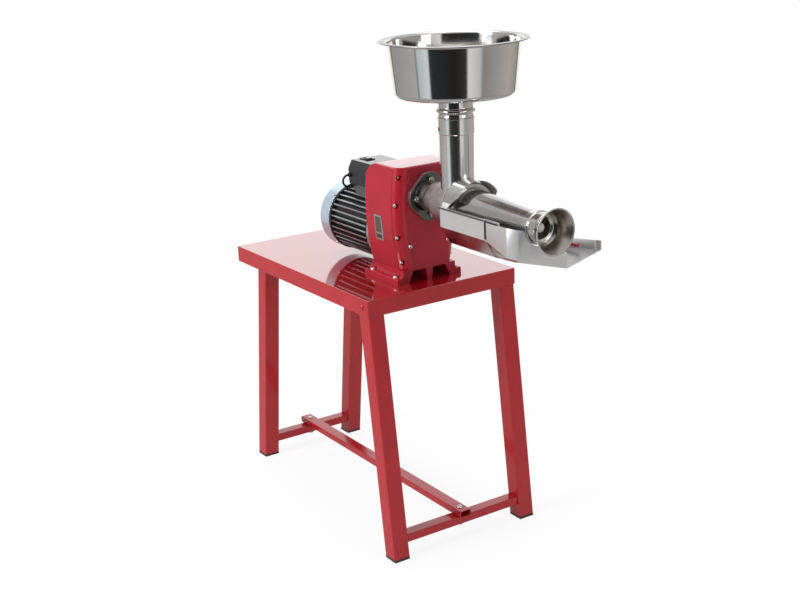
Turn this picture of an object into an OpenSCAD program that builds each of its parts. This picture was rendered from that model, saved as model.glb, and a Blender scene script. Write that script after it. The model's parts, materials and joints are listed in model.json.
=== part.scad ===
// Electric tomato strainer: a gear motor drives an auger inside a sieve cone, all on a splayed-leg table.
// X runs from the motor towards the waste outlet, Y across the machine, Z up. Millimetres.
// Part positions are measured from the middle of the table; placed() then centres the whole box.

/* [Table] */
// Length of the table top
table_l = 615; // [580:5:680]
// Width of the table top
table_w = 400; // [360:5:440]
// Height of the table top above the floor
table_h = 600; // [520:5:700]
// Depth of the folded skirt
skirt_h = 38; // [32:1:50]
// Thickness of the table sheet
sheet_t = 2; // [1.5:0.5:3]
// Corner radius of the skirt
skirt_r = 4; // [3:1:8]
// Side of the square leg tube
leg_w = 40; // [30:1:46]
// Wall of the leg tube
leg_wall = 2; // [1.5:0.5:3]
// Outward splay of the front legs at the floor
front_splay = 68; // [40:1:80]
// Outward splay of the rear legs at the floor
rear_splay = 83; // [40:1:100]
// Distance from the rear end of the top to the rear legs
rear_inset_x = 13; // [12:1:30]
// Distance from the side of the top to the narrower rear legs
rear_inset_y = 51; // [46:1:70]
// Thickness of the black leg caps
cap_t = 5; // [4:1:8]
// Depth of the plug that holds a cap in its tube
cap_plug = 15; // [10:1:25]
// Width of the cross stretchers and of the long stretcher
stretcher_w = 30; // [24:1:34]
// Height of the cross stretchers
stretcher_h = 20; // [16:1:26]
// Height of the long stretcher
beam_h = 16; // [14:1:24]
// Wall of the stretchers
stretcher_wall = 1.5; // [1:0.5:2.5]
// Height of the cross stretchers above the floor
stretcher_z = 35; // [25:1:80]
// How far the long stretcher runs past each screw
beam_overhang = 23; // [18:1:35]
// Width of the rail that carries the rear legs
rail_w = 34; // [26:1:44]
// Depth of the rail that carries the rear legs
rail_h = 32; // [26:1:34]

/* [Frame fasteners] */
// Radius of the screws in the frame
screw_r = 4; // [3:0.5:5]
// Head radius of the frame screws
screw_head_r = 7; // [6:0.5:9]
// Head height of the frame screws
screw_head_h = 4.5; // [3:0.5:6]
// Width across flats of the nuts
nut_flats = 13; // [11:1:16]
// Height of the nuts
nut_h = 6.5; // [5:0.5:8]

/* [Gearbox] */
// Rear face of the gearbox from the middle of the table
case_x = 124; // [100:1:135]
// Length of the gearbox along the shafts
case_l = 131; // [125:1:150]
// Depth of the front cover
cover_l = 22; // [20:1:30]
// Half width of the gearbox at its widest
case_half_w = 84; // [78:1:92]
// Radius of the bulged gearbox sides
case_side_r = 563; // [400:1:800]
// Height of the widest place above the table
case_wide_h = 160; // [140:1:180]
// Height of the gearbox
case_h = 262; // [250:1:280]
// Radius of the upper corners
case_corner_r = 9; // [6:1:20]
// Radius of the gearbox's upper rear edge
case_rear_r = 45; // [20:1:50]
// Radius of the gearbox's upright rear edges
side_rear_r = 6; // [3:1:10]
// Radius of the gearbox's upright front edges
cover_edge_r = 30; // [10:1:34]
// Radius of the gearbox's upper front edge
cover_top_r = 7; // [3:1:12]
// Wall of the gearbox
case_wall = 7; // [5:0.5:9]
// Height of the gear space floor above the table
sump_h = 36; // [33:1:50]
// Half width of the foot
foot_half_w = 86; // [84:1:98]
// Thickness of the foot flanges
foot_t = 13; // [9:1:18]
// Height of the arches between the feet
arch_h = 27; // [18:1:30]
// Thickness of the gasket under the cover
gasket_t = 0.6; // [0.4:0.1:1]
// Distance of the foot bolts from the ends of the foot
foot_bolt_inset = 22; // [16:1:36]
// Distance of the foot bolts from the side of the foot
foot_bolt_side = 9; // [8:0.5:11]

/* [Gears] */
// Height of the output shaft above the table
axis_h = 192; // [185:1:196]
// Tooth module of the first stage
fast_module = 1.5; // [1.4:0.1:1.6]
// Teeth of the pinion on the rotor
rotor_teeth = 14; // [13:1:16]
// Teeth of the intermediate wheel
idler_teeth = 50; // [46:1:52]
// Tooth module of the second stage
slow_module = 2; // [1.9:0.1:2]
// Teeth of the intermediate pinion
pinion_teeth = 13; // [13:1:15]
// Teeth of the output wheel
output_teeth = 37; // [34:1:39]
// Pressure angle of all teeth
pressure_angle = 25; // [24:1:26]
// Backlash of a gear pair at the pitch circle
backlash = 0.3; // [0.2:0.05:0.5]
// Face width of the first stage
fast_face = 14; // [10:1:16]
// Face width of the second stage
slow_face = 20; // [16:1:24]
// Radius of the output shaft
output_r = 12.5; // [11:0.5:14]
// Radius of the rear end of the output shaft
output_tail_r = 9.5; // [8:0.5:10]
// Side of the square that drives the auger
square_side = 16; // [14:0.5:17]
// Radius of the intermediate shaft
idler_r = 8; // [7:0.5:9]

/* [Motor] */
// Outer radius over the cooling fins
fin_r = 78; // [76:1:82]
// Height of the cooling fins
fin_h = 10; // [6:1:12]
// Thickness of the cooling fins
fin_t = 3.6; // [2.5:0.1:5]
// Number of cooling fins
fin_count = 36; // [24:1:40]
// Wall of the stator housing under the fins
motor_wall = 5; // [4:0.5:7]
// Length of the finned stator housing
motor_l = 154; // [140:1:170]
// Thickness of the end shields
shield_t = 12; // [11:1:15]
// Radius of the rotor shaft
rotor_r = 8.5; // [7.5:0.5:9.5]
// Radius of the rotor core
rotor_core_r = 39; // [34:1:42]
// Air gap between rotor and stator
air_gap = 0.5; // [0.4:0.1:0.8]
// Length of the rotor and stator cores
core_l = 78; // [60:1:90]
// Radius of the fan cowl
cowl_r = 81; // [80:1:86]
// Length of the fan cowl
cowl_l = 46; // [42:1:60]
// Sheet of the fan cowl
cowl_t = 1.2; // [1:0.1:2]
// Radius of the cooling fan
fan_r = 62; // [50:1:70]
// Number of fan blades
fan_blades = 9; // [6:1:12]

/* [Switch box] */
// Length of the switch box
box_l = 124; // [100:1:126]
// Width of the switch box
box_w = 80; // [70:1:90]
// Height of the switch box with its lid
box_h = 58; // [50:1:66]
// Height of the lid
lid_h = 15; // [12:1:20]
// Wall of the switch box
box_wall = 3; // [2:0.5:4]
// Height of the terminal base under the box
base_h = 12; // [10:1:18]
// Radius of the lead between box and motor
lead_r = 2.5; // [2:0.25:3]
// Length of the rocker
rocker_l = 26; // [20:1:32]
// Width of the rocker
rocker_w = 14; // [10:1:18]

/* [Strainer body] */
// Distance of the feed tube from the gearbox front
feed_reach = 115; // [112:1:125]
// Radius of the barrel behind the feed tube
neck_r = 37.5; // [35:0.5:40]
// Radius of the waist between the flange and the barrel
waist_r = 29.5; // [28:0.5:30]
// Length of the waist in front of the flange
waist_l = 17; // [15:1:20]
// Outer radius of the body
body_r = 50; // [49:0.5:53]
// Wall of the body
body_wall = 4.5; // [3.5:0.5:6]
// Thickness of the four-cornered flange
flange_t = 12; // [6:1:13]
// Distance of the flange studs from the shaft
stud_pitch_r = 38; // [37:0.5:42]
// Radius to the rounded corners of the flange
flange_r = 54; // [51:0.5:58]
// Distance of the flange's flat sides from the shaft
flange_flat = 48; // [44:0.5:51]
// Length of the body in front of the feed tube axis
body_front = 46; // [45:1:52]
// Outer radius of the clamp ring
ring_r = 55.5; // [54:0.5:57]
// Length of the clamp ring
ring_l = 16; // [14:1:20]

/* [Feed tube and hopper] */
// Radius of the feed tube at the body
tube_low_r = 36.5; // [34:0.5:37]
// Radius of the feed tube at its socket
tube_r = 38; // [37:0.5:40]
// Radius of the socket at the top of the tube
socket_r = 39.2; // [38.5:0.1:42]
// Height of the socket
socket_h = 34; // [30:1:60]
// Height of the tube top above the shaft axis
tube_h = 189; // [150:1:240]
// Sheet of the feed tube
tube_t = 1.5; // [1:0.1:2]
// Radius of the hopper bowl at its rim
bowl_r = 141.5; // [120:1:160]
// Radius of the hopper bowl at its floor
bowl_floor_r = 130; // [110:1:150]
// Radius of the rolled rim
rim_r = 156; // [140:1:180]
// Height of the hopper bowl
bowl_h = 119.5; // [80:1:150]
// Height of the neck between tube and bowl
hopper_neck_h = 42; // [40:1:60]
// Radius of the bead round the neck
bead_r = 42.5; // [39.5:0.5:44]
// Depth of the spigot inside the tube
spigot_h = 22; // [15:1:40]
// Sheet of the hopper
hopper_t = 1.5; // [1:0.1:2]
// Radius of the bowl's lower corner
bowl_corner_r = 11; // [6:1:20]

/* [Sieve] */
// Radius of the sieve cone at its wide end
cone_big_r = 44.5; // [43:0.5:45]
// Radius of the sieve cone at its narrow end
cone_small_r = 29.5; // [27:0.5:31]
// Length of the sieve cone
cone_l = 224; // [200:1:236]
// Sheet of the sieve cone
cone_t = 1.2; // [1:0.1:1.6]
// Radius of the waste bell's mouth
bell_r = 48; // [42:1:54]
// Length of the waste bell
bell_l = 54; // [48:1:70]
// Length of the bell's neck
bell_neck_l = 22; // [16:1:26]
// Sheet of the waste bell
bell_t = 1.8; // [1.2:0.1:2.4]
// Opening of the ring inside the bell
outlet_r = 20; // [16:0.5:22]
// Turns of the auger in the cone
auger_turns = 3.5; // [2.5:0.5:4.5]
// Core radius of the auger at its wide end
auger_core_r = 16; // [12:1:19]
// Thickness of the auger flight
flight_t = 8; // [5:1:10]

/* [Juice tray] */
// Half width of the trough
trough_half_w = 62; // [60.5:0.5:68]
// Height of the trough rim above the shaft axis
trough_rim = 9; // [6:1:14]
// Depth of the fold under the side walls below the shaft axis
trough_fold = 35; // [30:1:45]
// Depth of the trough floor below the shaft axis
trough_depth = 88; // [80:1:95]
// Depth of the lower fold below the shaft axis
trough_knee = 74; // [66:1:78]
// Half distance between the lower folds
knee_half_w = 38; // [30:1:44]
// Length of the trough
trough_l = 156; // [146:1:166]
// Sheet of trough, chute and hood
tray_t = 1.5; // [1:0.1:2]
// Size of the folded rim of the trough
hem = 4; // [3:0.5:6]
// Reach of the chute beyond the trough along the shaft
chute_reach = 111; // [106:1:116]
// Distance of the mouth's far corner from the shaft
mouth_y = 204; // [180:1:215]
// Distance of the mouth's near corner from the shaft
mouth_near_y = 58; // [52:1:64]
// Height of the chute wall at the near corner of the mouth
mouth_near_h = 32; // [24:1:36]
// Height of the chute wall at the far corner of the mouth
mouth_far_h = 20; // [14:1:26]
// Drop of the chute floor below the trough floor
chute_drop = 4; // [2:1:8]
// Radius of the splash hood
hood_r = 62; // [60.5:0.5:66]
// Length of the splash hood
hood_l = 44; // [40:1:60]
// Radius of the steel peg on the chute
peg_r = 2.5; // [2:0.5:3]
// Length of the red cap on the peg
peg_cap_l = 41; // [18:1:46]

/* [Hidden] */
$fn = 96;
// Clearances: seat joins pieces of one body, part_gap separates bodies, run_gap is a shaft in its bore
seat = 0.05;
part_gap = 0.3;
run_gap = 0.06;
e = 1;

// Table geometry
leg_top = table_h - sheet_t;
skirt_z = table_h - skirt_h;
corner_gap = 0.3 * (skirt_r - sheet_t);
front_inset = sheet_t + corner_gap + front_splay * (skirt_h - sheet_t) / leg_top;
side_inset = sheet_t + corner_gap;
stretcher_mid = stretcher_z + stretcher_h / 2;
beam_z = stretcher_z + stretcher_h;
screw_z = table_h - skirt_h / 2;
hole_r = screw_r + 0.15;

// Outer face of the front (side = 1) and rear (side = -1) legs at height z
function leg_face(side, z) = side > 0
    ? table_l / 2 - front_inset + front_splay * (leg_top - z) / leg_top
    : -(table_l / 2 - rear_inset_x) - rear_splay * (leg_top - z) / leg_top;
function leg_mid(side, z) = leg_face(side, z) - side * leg_w / 2;
front_y = table_w / 2 - side_inset;
rear_y = table_w / 2 - rear_inset_y;
front_screw_x = leg_mid(1, stretcher_mid);
rear_screw_x = leg_mid(-1, stretcher_mid);

// Shaft heights
axis_z = table_h + axis_h;
fast_distance = fast_module * (rotor_teeth + idler_teeth) / 2;
slow_distance = slow_module * (pinion_teeth + output_teeth) / 2;
idler_z = axis_z - slow_distance;
motor_z = idler_z - fast_distance;

// Gearbox geometry
case_front = case_x + case_l;
split_x = case_front - cover_l;
case_top = table_h + case_h;
side_centre = case_side_r - case_half_w;
wide_z = table_h + case_wide_h;
function case_half(z, d = 0) = sqrt(pow(case_side_r - d, 2) - pow(z - wide_z, 2)) - side_centre;
cavity_x = case_x + case_wall;
cavity_front = case_front - case_wall;
sump_z = table_h + sump_h;
cover_low = sump_z - case_wall + 1;
foot_x0 = case_x - 8;
foot_x1 = case_front - 2;
bolt_xs = [foot_x0 + foot_bolt_inset, foot_x1 - foot_bolt_inset];
bolt_y = foot_half_w - foot_bolt_side;

// Gear train along X
boss_l = 14;
fast_x = cavity_x + boss_l + 5;
slow_x = fast_x + fast_face + 7;
bearing_l = 12;
front_bearing_l = 15;
big_bearing_r = 26;
tail_bearing_r = 21;
small_bearing_r = 17.5;
motor_bearing_r = 20;
seal_l = 4;
seal_r = 20;
front_bearing_x = case_front - seal_l - front_bearing_l;

// Strainer along X
feed_x = case_front + feed_reach;
neck_x = case_front + flange_t;
barrel_x = neck_x + waist_l;
body_bore_r = 24;
wide_x = feed_x - tube_low_r - 1;
body_end = feed_x + body_front;
cone_x = body_end + 2;
cone_end = cone_x + cone_l;
ring_x = body_end - 8;
collar_x = feed_x + 16;
collar_l = 10;
collar_r = ring_r + 0.5;
bell_x = cone_end - 2;
bell_front = bell_x + bell_l;
bell_in_r = cone_small_r + cone_t + part_gap;
auger_x = wide_x + 5;
auger_end = cone_end + 4;
hub_x = feed_x - 84;
square_x = hub_x - 3;
square_end = hub_x + 36;

// Motor along X
shield_x = case_x - shield_t;
motor_x = shield_x - motor_l;
rear_shield_l = 9;
rear_x = motor_x - rear_shield_l;
cowl_x = rear_x + 4 - cowl_l;
tube_out_r = fin_r - fin_h;
tube_in_r = tube_out_r - motor_wall;
core_x = motor_x + (motor_l - core_l) / 2 + 4;
winding_l = 22;
fan_x = rear_x - 5;

// Switch box
pad_half_w = 32;
pad_x0 = shield_x - box_l + 26;
pad_x1 = shield_x - 6;
pad_z = motor_z + fin_r;
base_z = pad_z + 0.2;
box_z = base_z + base_h;
box_x1 = shield_x - 1;
box_x0 = box_x1 - box_l;
lid_z = box_z + box_h - lid_h;
box_top = box_z + box_h;
loop_r = 13.5;
loop_low = base_z + base_h / 2;
loop_high = loop_low + 2 * loop_r;
loop_x = box_x0 + 9;
base_half_w = box_w / 2 - 1;
loop_y = -box_w / 2 - 8;

// Tray
trough_x = feed_x + 20;
trough_end = trough_x + trough_l;
rim_z = axis_z + trough_rim;
fold_z = axis_z - trough_fold;
knee_z = axis_z - trough_knee;
floor_z = axis_z - trough_depth;
chute_x = trough_end + 2;
rim_reach = 45;
chute_z = floor_z - chute_drop;
mouth_x = trough_end + chute_reach;
far_x = mouth_x - 61;
far_rear_x = trough_end - 16;
far_rear_y = mouth_y - 39;
hood_x = trough_x + 6;
peg_y = far_rear_y - 9;
peg_z = chute_z + 14;

// The whole box, centred by placed()
x_max = bell_front;
x_min = leg_face(-1, 0) - 0.5;
y_max = max(mouth_y, table_w / 2 + screw_head_h);
y_min = -table_w / 2 - screw_head_h;
shift_x = -(x_max + x_min) / 2;
shift_y = -(y_max + y_min) / 2;

module placed() translate([shift_x, shift_y, 0]) children();

// A (y, z) outline carried along X, an (x, z) outline carried along Y, an (x, y) outline carried along Z
module span_x(x0, x1) translate([x0, 0, 0]) rotate([90, 0, 90]) linear_extrude(height = x1 - x0) children();
module span_y(y0, y1) translate([0, y1, 0]) rotate([90, 0, 0]) linear_extrude(height = y1 - y0) children();
module span_z(z0, z1) translate([0, 0, z0]) linear_extrude(height = z1 - z0) children();

// A rod along each axis
module rod_x(r, x0, x1, y, z) translate([x0, y, z]) rotate([90, 0, 90]) cylinder(r = r, h = x1 - x0);
module rod_y(r, y0, y1, x, z) translate([x, y1, z]) rotate([90, 0, 0]) cylinder(r = r, h = y1 - y0);
module rod_z(r, z0, z1, x, y) translate([x, y, z0]) cylinder(r = r, h = z1 - z0);

// A profile of [radius, position] points turned round a line along X or Z
module turned_x(z, y = 0) translate([0, y, z]) rotate([90, 0, 90]) rotate_extrude() children();
module turned_z(x, y = 0) translate([x, y, 0]) rotate_extrude() children();
module ring_along_x(r_in, r_out, x0, x1, z) difference() {
    rod_x(r_out, x0, x1, 0, z);
    rod_x(r_in, x0 - e, x1 + e, 0, z);
}

// Points of an arc from angle a0 to a1
function arc(cx, cy, r, a0, a1, n) = [for (i = [0:n]) [
    cx + r * cos(a0 + (a1 - a0) * i / n),
    cy + r * sin(a0 + (a1 - a0) * i / n)
]];

// Button-head screw along +Z: the head stands on z = 0 and the shank goes down
module button_screw(shank) {
    rotate_extrude() polygon([
        [0, -shank], [screw_r, -shank], [screw_r, 0], [screw_head_r, 0], [screw_head_r, 1],
        [screw_head_r * 0.8, screw_head_h * 0.75], [screw_head_r * 0.45, screw_head_h], [0, screw_head_h]
    ]);
}
module hex_nut() difference() {
    cylinder(r = nut_flats / 2 / cos(30), h = nut_h, $fn = 6);
    translate([0, 0, -e]) cylinder(r = screw_r + seat, h = nut_h + 2 * e);
}

// Table

module rounded_plan(l, w, r) {
    square([l - 2 * r, w], center = true);
    square([l, w - 2 * r], center = true);
    for (sx = [-1, 1], sy = [-1, 1]) translate([sx * (l / 2 - r), sy * (w / 2 - r)]) circle(r = r);
}
module table_top() {
    color("firebrick") placed() difference() {
        union() {
            span_z(skirt_z, table_h - 1) rounded_plan(table_l, table_w, skirt_r);
            span_z(table_h - 1.01, table_h) rounded_plan(table_l - 1.2, table_w - 1.2, skirt_r - 0.6);
        }
        span_z(skirt_z - e, leg_top)
            rounded_plan(table_l - 2 * sheet_t, table_w - 2 * sheet_t, skirt_r - sheet_t);
        for (x = bolt_xs, s = [-1, 1]) rod_z(hole_r, skirt_z, table_h + e, x, s * bolt_y);
        rod_y(hole_r, -table_w, table_w, leg_mid(1, screw_z), screw_z);
    }
}

// Side view of a leg between two heights, drawn in by inset
module leg_profile(side, z0, z1, inset) {
    polygon([
        [leg_face(side, z0) - side * inset, z0],
        [leg_face(side, z1) - side * inset, z1],
        [leg_face(side, z1) - side * (leg_w - inset), z1],
        [leg_face(side, z0) - side * (leg_w - inset), z0]
    ]);
}
module leg(side, y0) {
    color("firebrick") placed() difference() {
        span_y(y0, y0 + leg_w) leg_profile(side, cap_t, leg_top, 0);
        span_y(y0 + leg_wall, y0 + leg_w - leg_wall) leg_profile(side, cap_t - e, leg_top + e, leg_wall);
        if (side > 0) rod_y(hole_r, y0 - e, y0 + leg_w + e, leg_mid(1, screw_z), screw_z);
        if (side < 0) rod_x(hole_r, leg_face(-1, screw_z) - 9, leg_face(-1, screw_z) + leg_w + 9,
            y0 + leg_w / 2, screw_z - 3);
    }
}
module leg_cap(side, y0) {
    color("black") placed() {
        span_y(y0 - 0.5, y0 + leg_w + 0.5) leg_profile(side, 0, cap_t, -0.5);
        span_y(y0 + leg_wall + 0.2, y0 + leg_w - leg_wall - 0.2)
            leg_profile(side, cap_t - 0.01, cap_t + cap_plug, leg_wall + 0.2);
    }
}
module front_near_leg() leg(1, -front_y);
module front_far_leg() leg(1, front_y - leg_w);
module rear_near_leg() leg(-1, -rear_y);
module rear_far_leg() leg(-1, rear_y - leg_w);
module front_near_cap() leg_cap(1, -front_y);
module front_far_cap() leg_cap(1, front_y - leg_w);
module rear_near_cap() leg_cap(-1, -rear_y);
module rear_far_cap() leg_cap(-1, rear_y - leg_w);

// Folded channel between the skirts: its rear flange leans with the rear legs that are screwed to it
module rear_cross_rail() {
    low = leg_top - rail_h;
    top_x = leg_face(-1, leg_top) + leg_w;
    low_x = leg_face(-1, low) + leg_w;
    color("firebrick") placed() difference() {
        span_y(-front_y, front_y) polygon([
            [top_x, leg_top], [top_x + rail_w, leg_top], [top_x + rail_w, low],
            [top_x + rail_w - sheet_t, low], [top_x + rail_w - sheet_t, leg_top - sheet_t],
            [top_x + sheet_t, leg_top - sheet_t], [low_x + sheet_t, low], [low_x, low]
        ]);
        for (s = [-1, 1]) rod_x(hole_r, low_x - 9, top_x + rail_w / 2, s * (rear_y - leg_w / 2), screw_z - 3);
    }
}

module cross_stretcher(side, inner_y) {
    x = leg_mid(side, stretcher_mid);
    color("firebrick") placed() difference() {
        span_y(-inner_y, inner_y) translate([x - stretcher_w / 2, stretcher_z])
            square([stretcher_w, stretcher_h]);
        span_y(-inner_y - e, inner_y + e) translate([x - stretcher_w / 2 + stretcher_wall,
            stretcher_z + stretcher_wall])
            square([stretcher_w - 2 * stretcher_wall, stretcher_h - 2 * stretcher_wall]);
        rod_z(hole_r, stretcher_z - e, beam_z + e, x, 0);
    }
}
module front_stretcher() cross_stretcher(1, front_y - leg_w);
module rear_stretcher() cross_stretcher(-1, rear_y - leg_w);
module long_stretcher() {
    x0 = rear_screw_x - beam_overhang;
    x1 = front_screw_x + beam_overhang;
    color("firebrick") placed() difference() {
        span_x(x0, x1) translate([-stretcher_w / 2, beam_z]) square([stretcher_w, beam_h]);
        span_x(x0 - e, x1 + e) translate([-stretcher_w / 2 + stretcher_wall, beam_z + stretcher_wall])
            square([stretcher_w - 2 * stretcher_wall, beam_h - 2 * stretcher_wall]);
        for (x = [rear_screw_x, front_screw_x]) rod_z(hole_r, beam_z - e, beam_z + beam_h + e, x, 0);
    }
}

// Two screws down through the stretchers, two through the skirt into each side's front leg,
// two through the rear legs into their rail
module frame_screws() {
    color("silver") placed() {
        for (x = [rear_screw_x, front_screw_x]) translate([x, 0, beam_z + beam_h])
            button_screw(beam_h + stretcher_h + nut_h + 2);
        for (s = [-1, 1]) {
            translate([leg_mid(1, screw_z), s * table_w / 2, screw_z]) rotate([-s * 90, 0, 0])
                button_screw(sheet_t + leg_wall + 8);
            translate([leg_face(-1, screw_z - 3) - 1.2, s * (rear_y - leg_w / 2), screw_z - 3])
                rotate([0, -90, 0]) button_screw(leg_w + sheet_t + 8);
        }
    }
}
module frame_nuts() {
    color("silver") placed() {
        for (x = [rear_screw_x, front_screw_x]) translate([x, 0, stretcher_z - nut_h]) hex_nut();
        for (x = bolt_xs, s = [-1, 1]) translate([x, s * bolt_y, leg_top - nut_h]) hex_nut();
    }
}

// Gearbox

// Front view of the gearbox between its bulged sides, drawn in by d
module case_outline(d, low) {
    intersection() {
        translate([-side_centre, wide_z]) circle(r = case_side_r - d, $fn = 360);
        translate([side_centre, wide_z]) circle(r = case_side_r - d, $fn = 360);
        case_shoulders(d, low);
    }
}
// The flat top with its rounded corners, left wide below them
module case_shoulders(d, low) {
    r = case_corner_r - min(d, case_corner_r / 2);
    z = case_top - d - r;
    w = case_half(z) - d + 0.5;
    polygon(concat(
        [[-w - 20, low], [w + 20, low], [w + 20, z]], arc(w - r, z, r, 0, 90, 5),
        arc(r - w, z, r, 90, 180, 5), [[-w - 20, z]]
    ));
}
// Side view of the gearbox with its rounded upper edges, drawn in by d
function case_profile(d) = concat(
    [[case_front - d, table_h]],
    arc(case_front - cover_top_r, case_top - cover_top_r, max(cover_top_r - d, 1), 0, 90, 4),
    arc(case_x + case_rear_r, case_top - case_rear_r, case_rear_r - d, 90, 180, 8),
    [[case_x + d, table_h]]
);
// The part of the gearbox's body between x0 and x1, above low
module case_block(x0, x1, low) {
    intersection() {
        span_x(x0, x1) case_shoulders(0, low);
        span_y(-case_half_w - 20, case_half_w + 20) polygon(case_profile(0));
        case_bulge(-1);
        case_bulge(1);
    }
}
// One bulged side, turned round its own centre line
module case_bulge(s) {
    r = case_side_r;
    translate([0, s * side_centre, wide_z]) rotate([90, 0, 90]) rotate_extrude($fn = 360) polygon(concat(
        [[r - 3 * case_half_w, case_x]], arc(r - side_rear_r, case_x + side_rear_r, side_rear_r, -90, 0, 4),
        arc(r - cover_edge_r, case_front - cover_edge_r, cover_edge_r, 0, 90, 8),
        [[r - 3 * case_half_w, case_front]]
    ));
}
module foot_arches() {
    for (s = [-1, 1]) span_x(foot_x0 - e, case_front + e) polygon([
        [s * 6, table_h - e], [s * 10, table_h + arch_h], [s * 44, table_h + arch_h], [s * 56, table_h - e]
    ]);
}
// Y and Z of the cover screws on one side, from the lowest up
screw_zs = [for (share = [0.18, 0.4, 0.68, 0.915]) table_h + share * case_h];
function cover_screw_y(z) = case_half(z) - (z > axis_z ? 11 : 7);
module cover_screw_places() {
    for (z = screw_zs, s = [-1, 1]) translate([0, s * cover_screw_y(z), z]) children();
}
// Two more screws in the flat of the cover
module inner_screw_places() {
    for (s = [-1, 1]) translate([0, s * case_half_w * 0.6, table_h + case_h * 0.32]) children();
}
screw_seat_x = case_front - 16;

module gearbox_housing() {
    color("crimson") placed() difference() {
        union() {
            case_block(case_x, split_x, table_h + foot_t);
            span_x(foot_x0 + 8, foot_x1) polygon([
                [-70, table_h], [-70, cover_low - 0.3], [70, cover_low - 0.3], [70, table_h]
            ]);
            span_x(foot_x0, foot_x1) for (s = [-1, 1]) polygon([
                [s * 60, table_h], [s * foot_half_w, table_h], [s * foot_half_w, table_h + foot_t - 3],
                [s * (foot_half_w - 2), table_h + foot_t], [s * 74, table_h + foot_t],
                [s * 70, table_h + foot_t + 6], [s * 60, table_h + foot_t + 6]
            ]);
        }
        difference() {
            intersection() {
                span_x(cavity_x, split_x + e) case_outline_inner(case_wall);
                span_y(-case_half_w, case_half_w) polygon(case_profile(case_wall));
            }
            for (x = [cavity_x - e]) {
                rod_x(tail_bearing_r + 5, x, cavity_x + boss_l, 0, axis_z);
                rod_x(small_bearing_r + 4.5, x, cavity_x + boss_l, 0, idler_z);
            }
            cover_screw_places() rotate([90, 0, 90]) cylinder(r = 7.5, h = split_x + 2 * e);
            inner_screw_places() rotate([90, 0, 90]) cylinder(r = 7.5, h = split_x + 2 * e);
        }
        rod_x(tail_bearing_r + seat, cavity_x + boss_l - bearing_l, split_x, 0, axis_z);
        rod_x(small_bearing_r + seat, cavity_x + boss_l - bearing_l, split_x, 0, idler_z);
        rod_x(40 + seat, case_x - e, cavity_x + e, 0, motor_z);
        foot_arches();
        for (x = bolt_xs, s = [-1, 1]) rod_z(hole_r, table_h - e, table_h + foot_t + 9, x, s * bolt_y);
        for (x = bolt_xs, s = [-1, 1])
            rod_z(screw_head_r + 1.5, table_h + foot_t, table_h + foot_t + 9, x, s * bolt_y);
        cover_screw_places() translate([split_x - 16, 0, 0]) rotate([90, 0, 90]) cylinder(r = 3.1, h = 18);
        inner_screw_places() translate([split_x - 16, 0, 0]) rotate([90, 0, 90]) cylinder(r = 3.1, h = 18);
    }
}
// The gear space: the outline drawn in by the wall, closed below by the sump floor
module case_outline_inner(d) intersection() {
    case_outline(d, sump_z);
    translate([-case_half_w, sump_z]) square([2 * case_half_w, case_h]);
}
module gearbox_cover() {
    x0 = split_x + gasket_t;
    color("crimson") placed() difference() {
        union() {
            case_block(x0, case_front, cover_low);
        }
        difference() {
            span_x(x0 - e, cavity_front) case_outline_inner(case_wall + 11);
            rod_x(big_bearing_r + 6, front_bearing_x, case_front, 0, axis_z);
            rod_x(small_bearing_r + 4.5, front_bearing_x, case_front, 0, idler_z);
            inner_screw_places() rotate([90, 0, 90]) cylinder(r = 7.5, h = case_front);
        }
        rod_x(big_bearing_r + seat, x0 - 2 * e, case_front - seal_l, 0, axis_z);
        rod_x(small_bearing_r + seat, x0 - 2 * e, front_bearing_x + bearing_l - 2, 0, idler_z);
        rod_x(seal_r, case_front - seal_l - e, case_front + e, 0, axis_z);
        cover_screw_places() translate([x0 - e, 0, 0]) rotate([90, 0, 90]) {
            cylinder(r = 3.1, h = cover_l + 2 * e);
            translate([0, 0, screw_seat_x - x0 + e]) cylinder(r = 5.8, h = cover_l);
        }
        inner_screw_places() translate([x0 - e, 0, 0]) rotate([90, 0, 90])
            cylinder(r = 3.1, h = cover_l + 2 * e);
        flange_places() translate([case_front - 6, 0, 0]) rotate([90, 0, 90]) cylinder(r = hole_r, h = 8);
    }
}
module cover_gasket() {
    color("dimgray") placed() difference() {
        span_x(split_x, split_x + gasket_t) case_outline(0.8, cover_low);
        span_x(split_x - e, split_x + gasket_t + e) difference() {
            case_outline_inner(case_wall);
            for (z = screw_zs, s = [-1, 1]) translate([s * cover_screw_y(z), z]) circle(r = 7.5);
        }
        cover_screw_places() translate([split_x - e, 0, 0]) rotate([90, 0, 90]) cylinder(r = 3.1, h = 3);
    }
}
module cover_screws() {
    color("gainsboro") placed() {
        cover_screw_places() translate([screw_seat_x, 0, 0]) cover_screw(screw_seat_x - split_x + 12);
        inner_screw_places() translate([case_front, 0, 0]) cover_screw(cover_l + 10);
    }
}
module cover_screw(shank) rotate([90, 0, 90]) rotate_extrude() polygon([
    [0, -shank], [3, -shank], [3, 0], [5, 0], [5, 1], [4.2, 2.6], [2.6, 3.8], [0, 4.2]
]);
module foot_bolts() {
    color("gainsboro") placed() for (x = bolt_xs, s = [-1, 1])
        translate([x, s * bolt_y, table_h + foot_t]) button_screw(foot_t + sheet_t + nut_h + 3);
}
// Bare plate on the near side of the gearbox, set on its bulge
module side_plate() {
    x0 = case_x + 38;
    color("silver") placed() intersection() {
        translate([x0, -case_half_w - 5, table_h + 90]) cube([31, 20, 58]);
        difference() {
            rotate([90, 0, 90]) translate([side_centre, wide_z, 0])
                cylinder(r = case_side_r + 1.2, h = case_front, $fn = 360);
            rotate([90, 0, 90]) translate([side_centre, wide_z, -e])
                cylinder(r = case_side_r + 0.1, h = case_front + 2 * e, $fn = 360);
        }
    }
}

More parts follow.
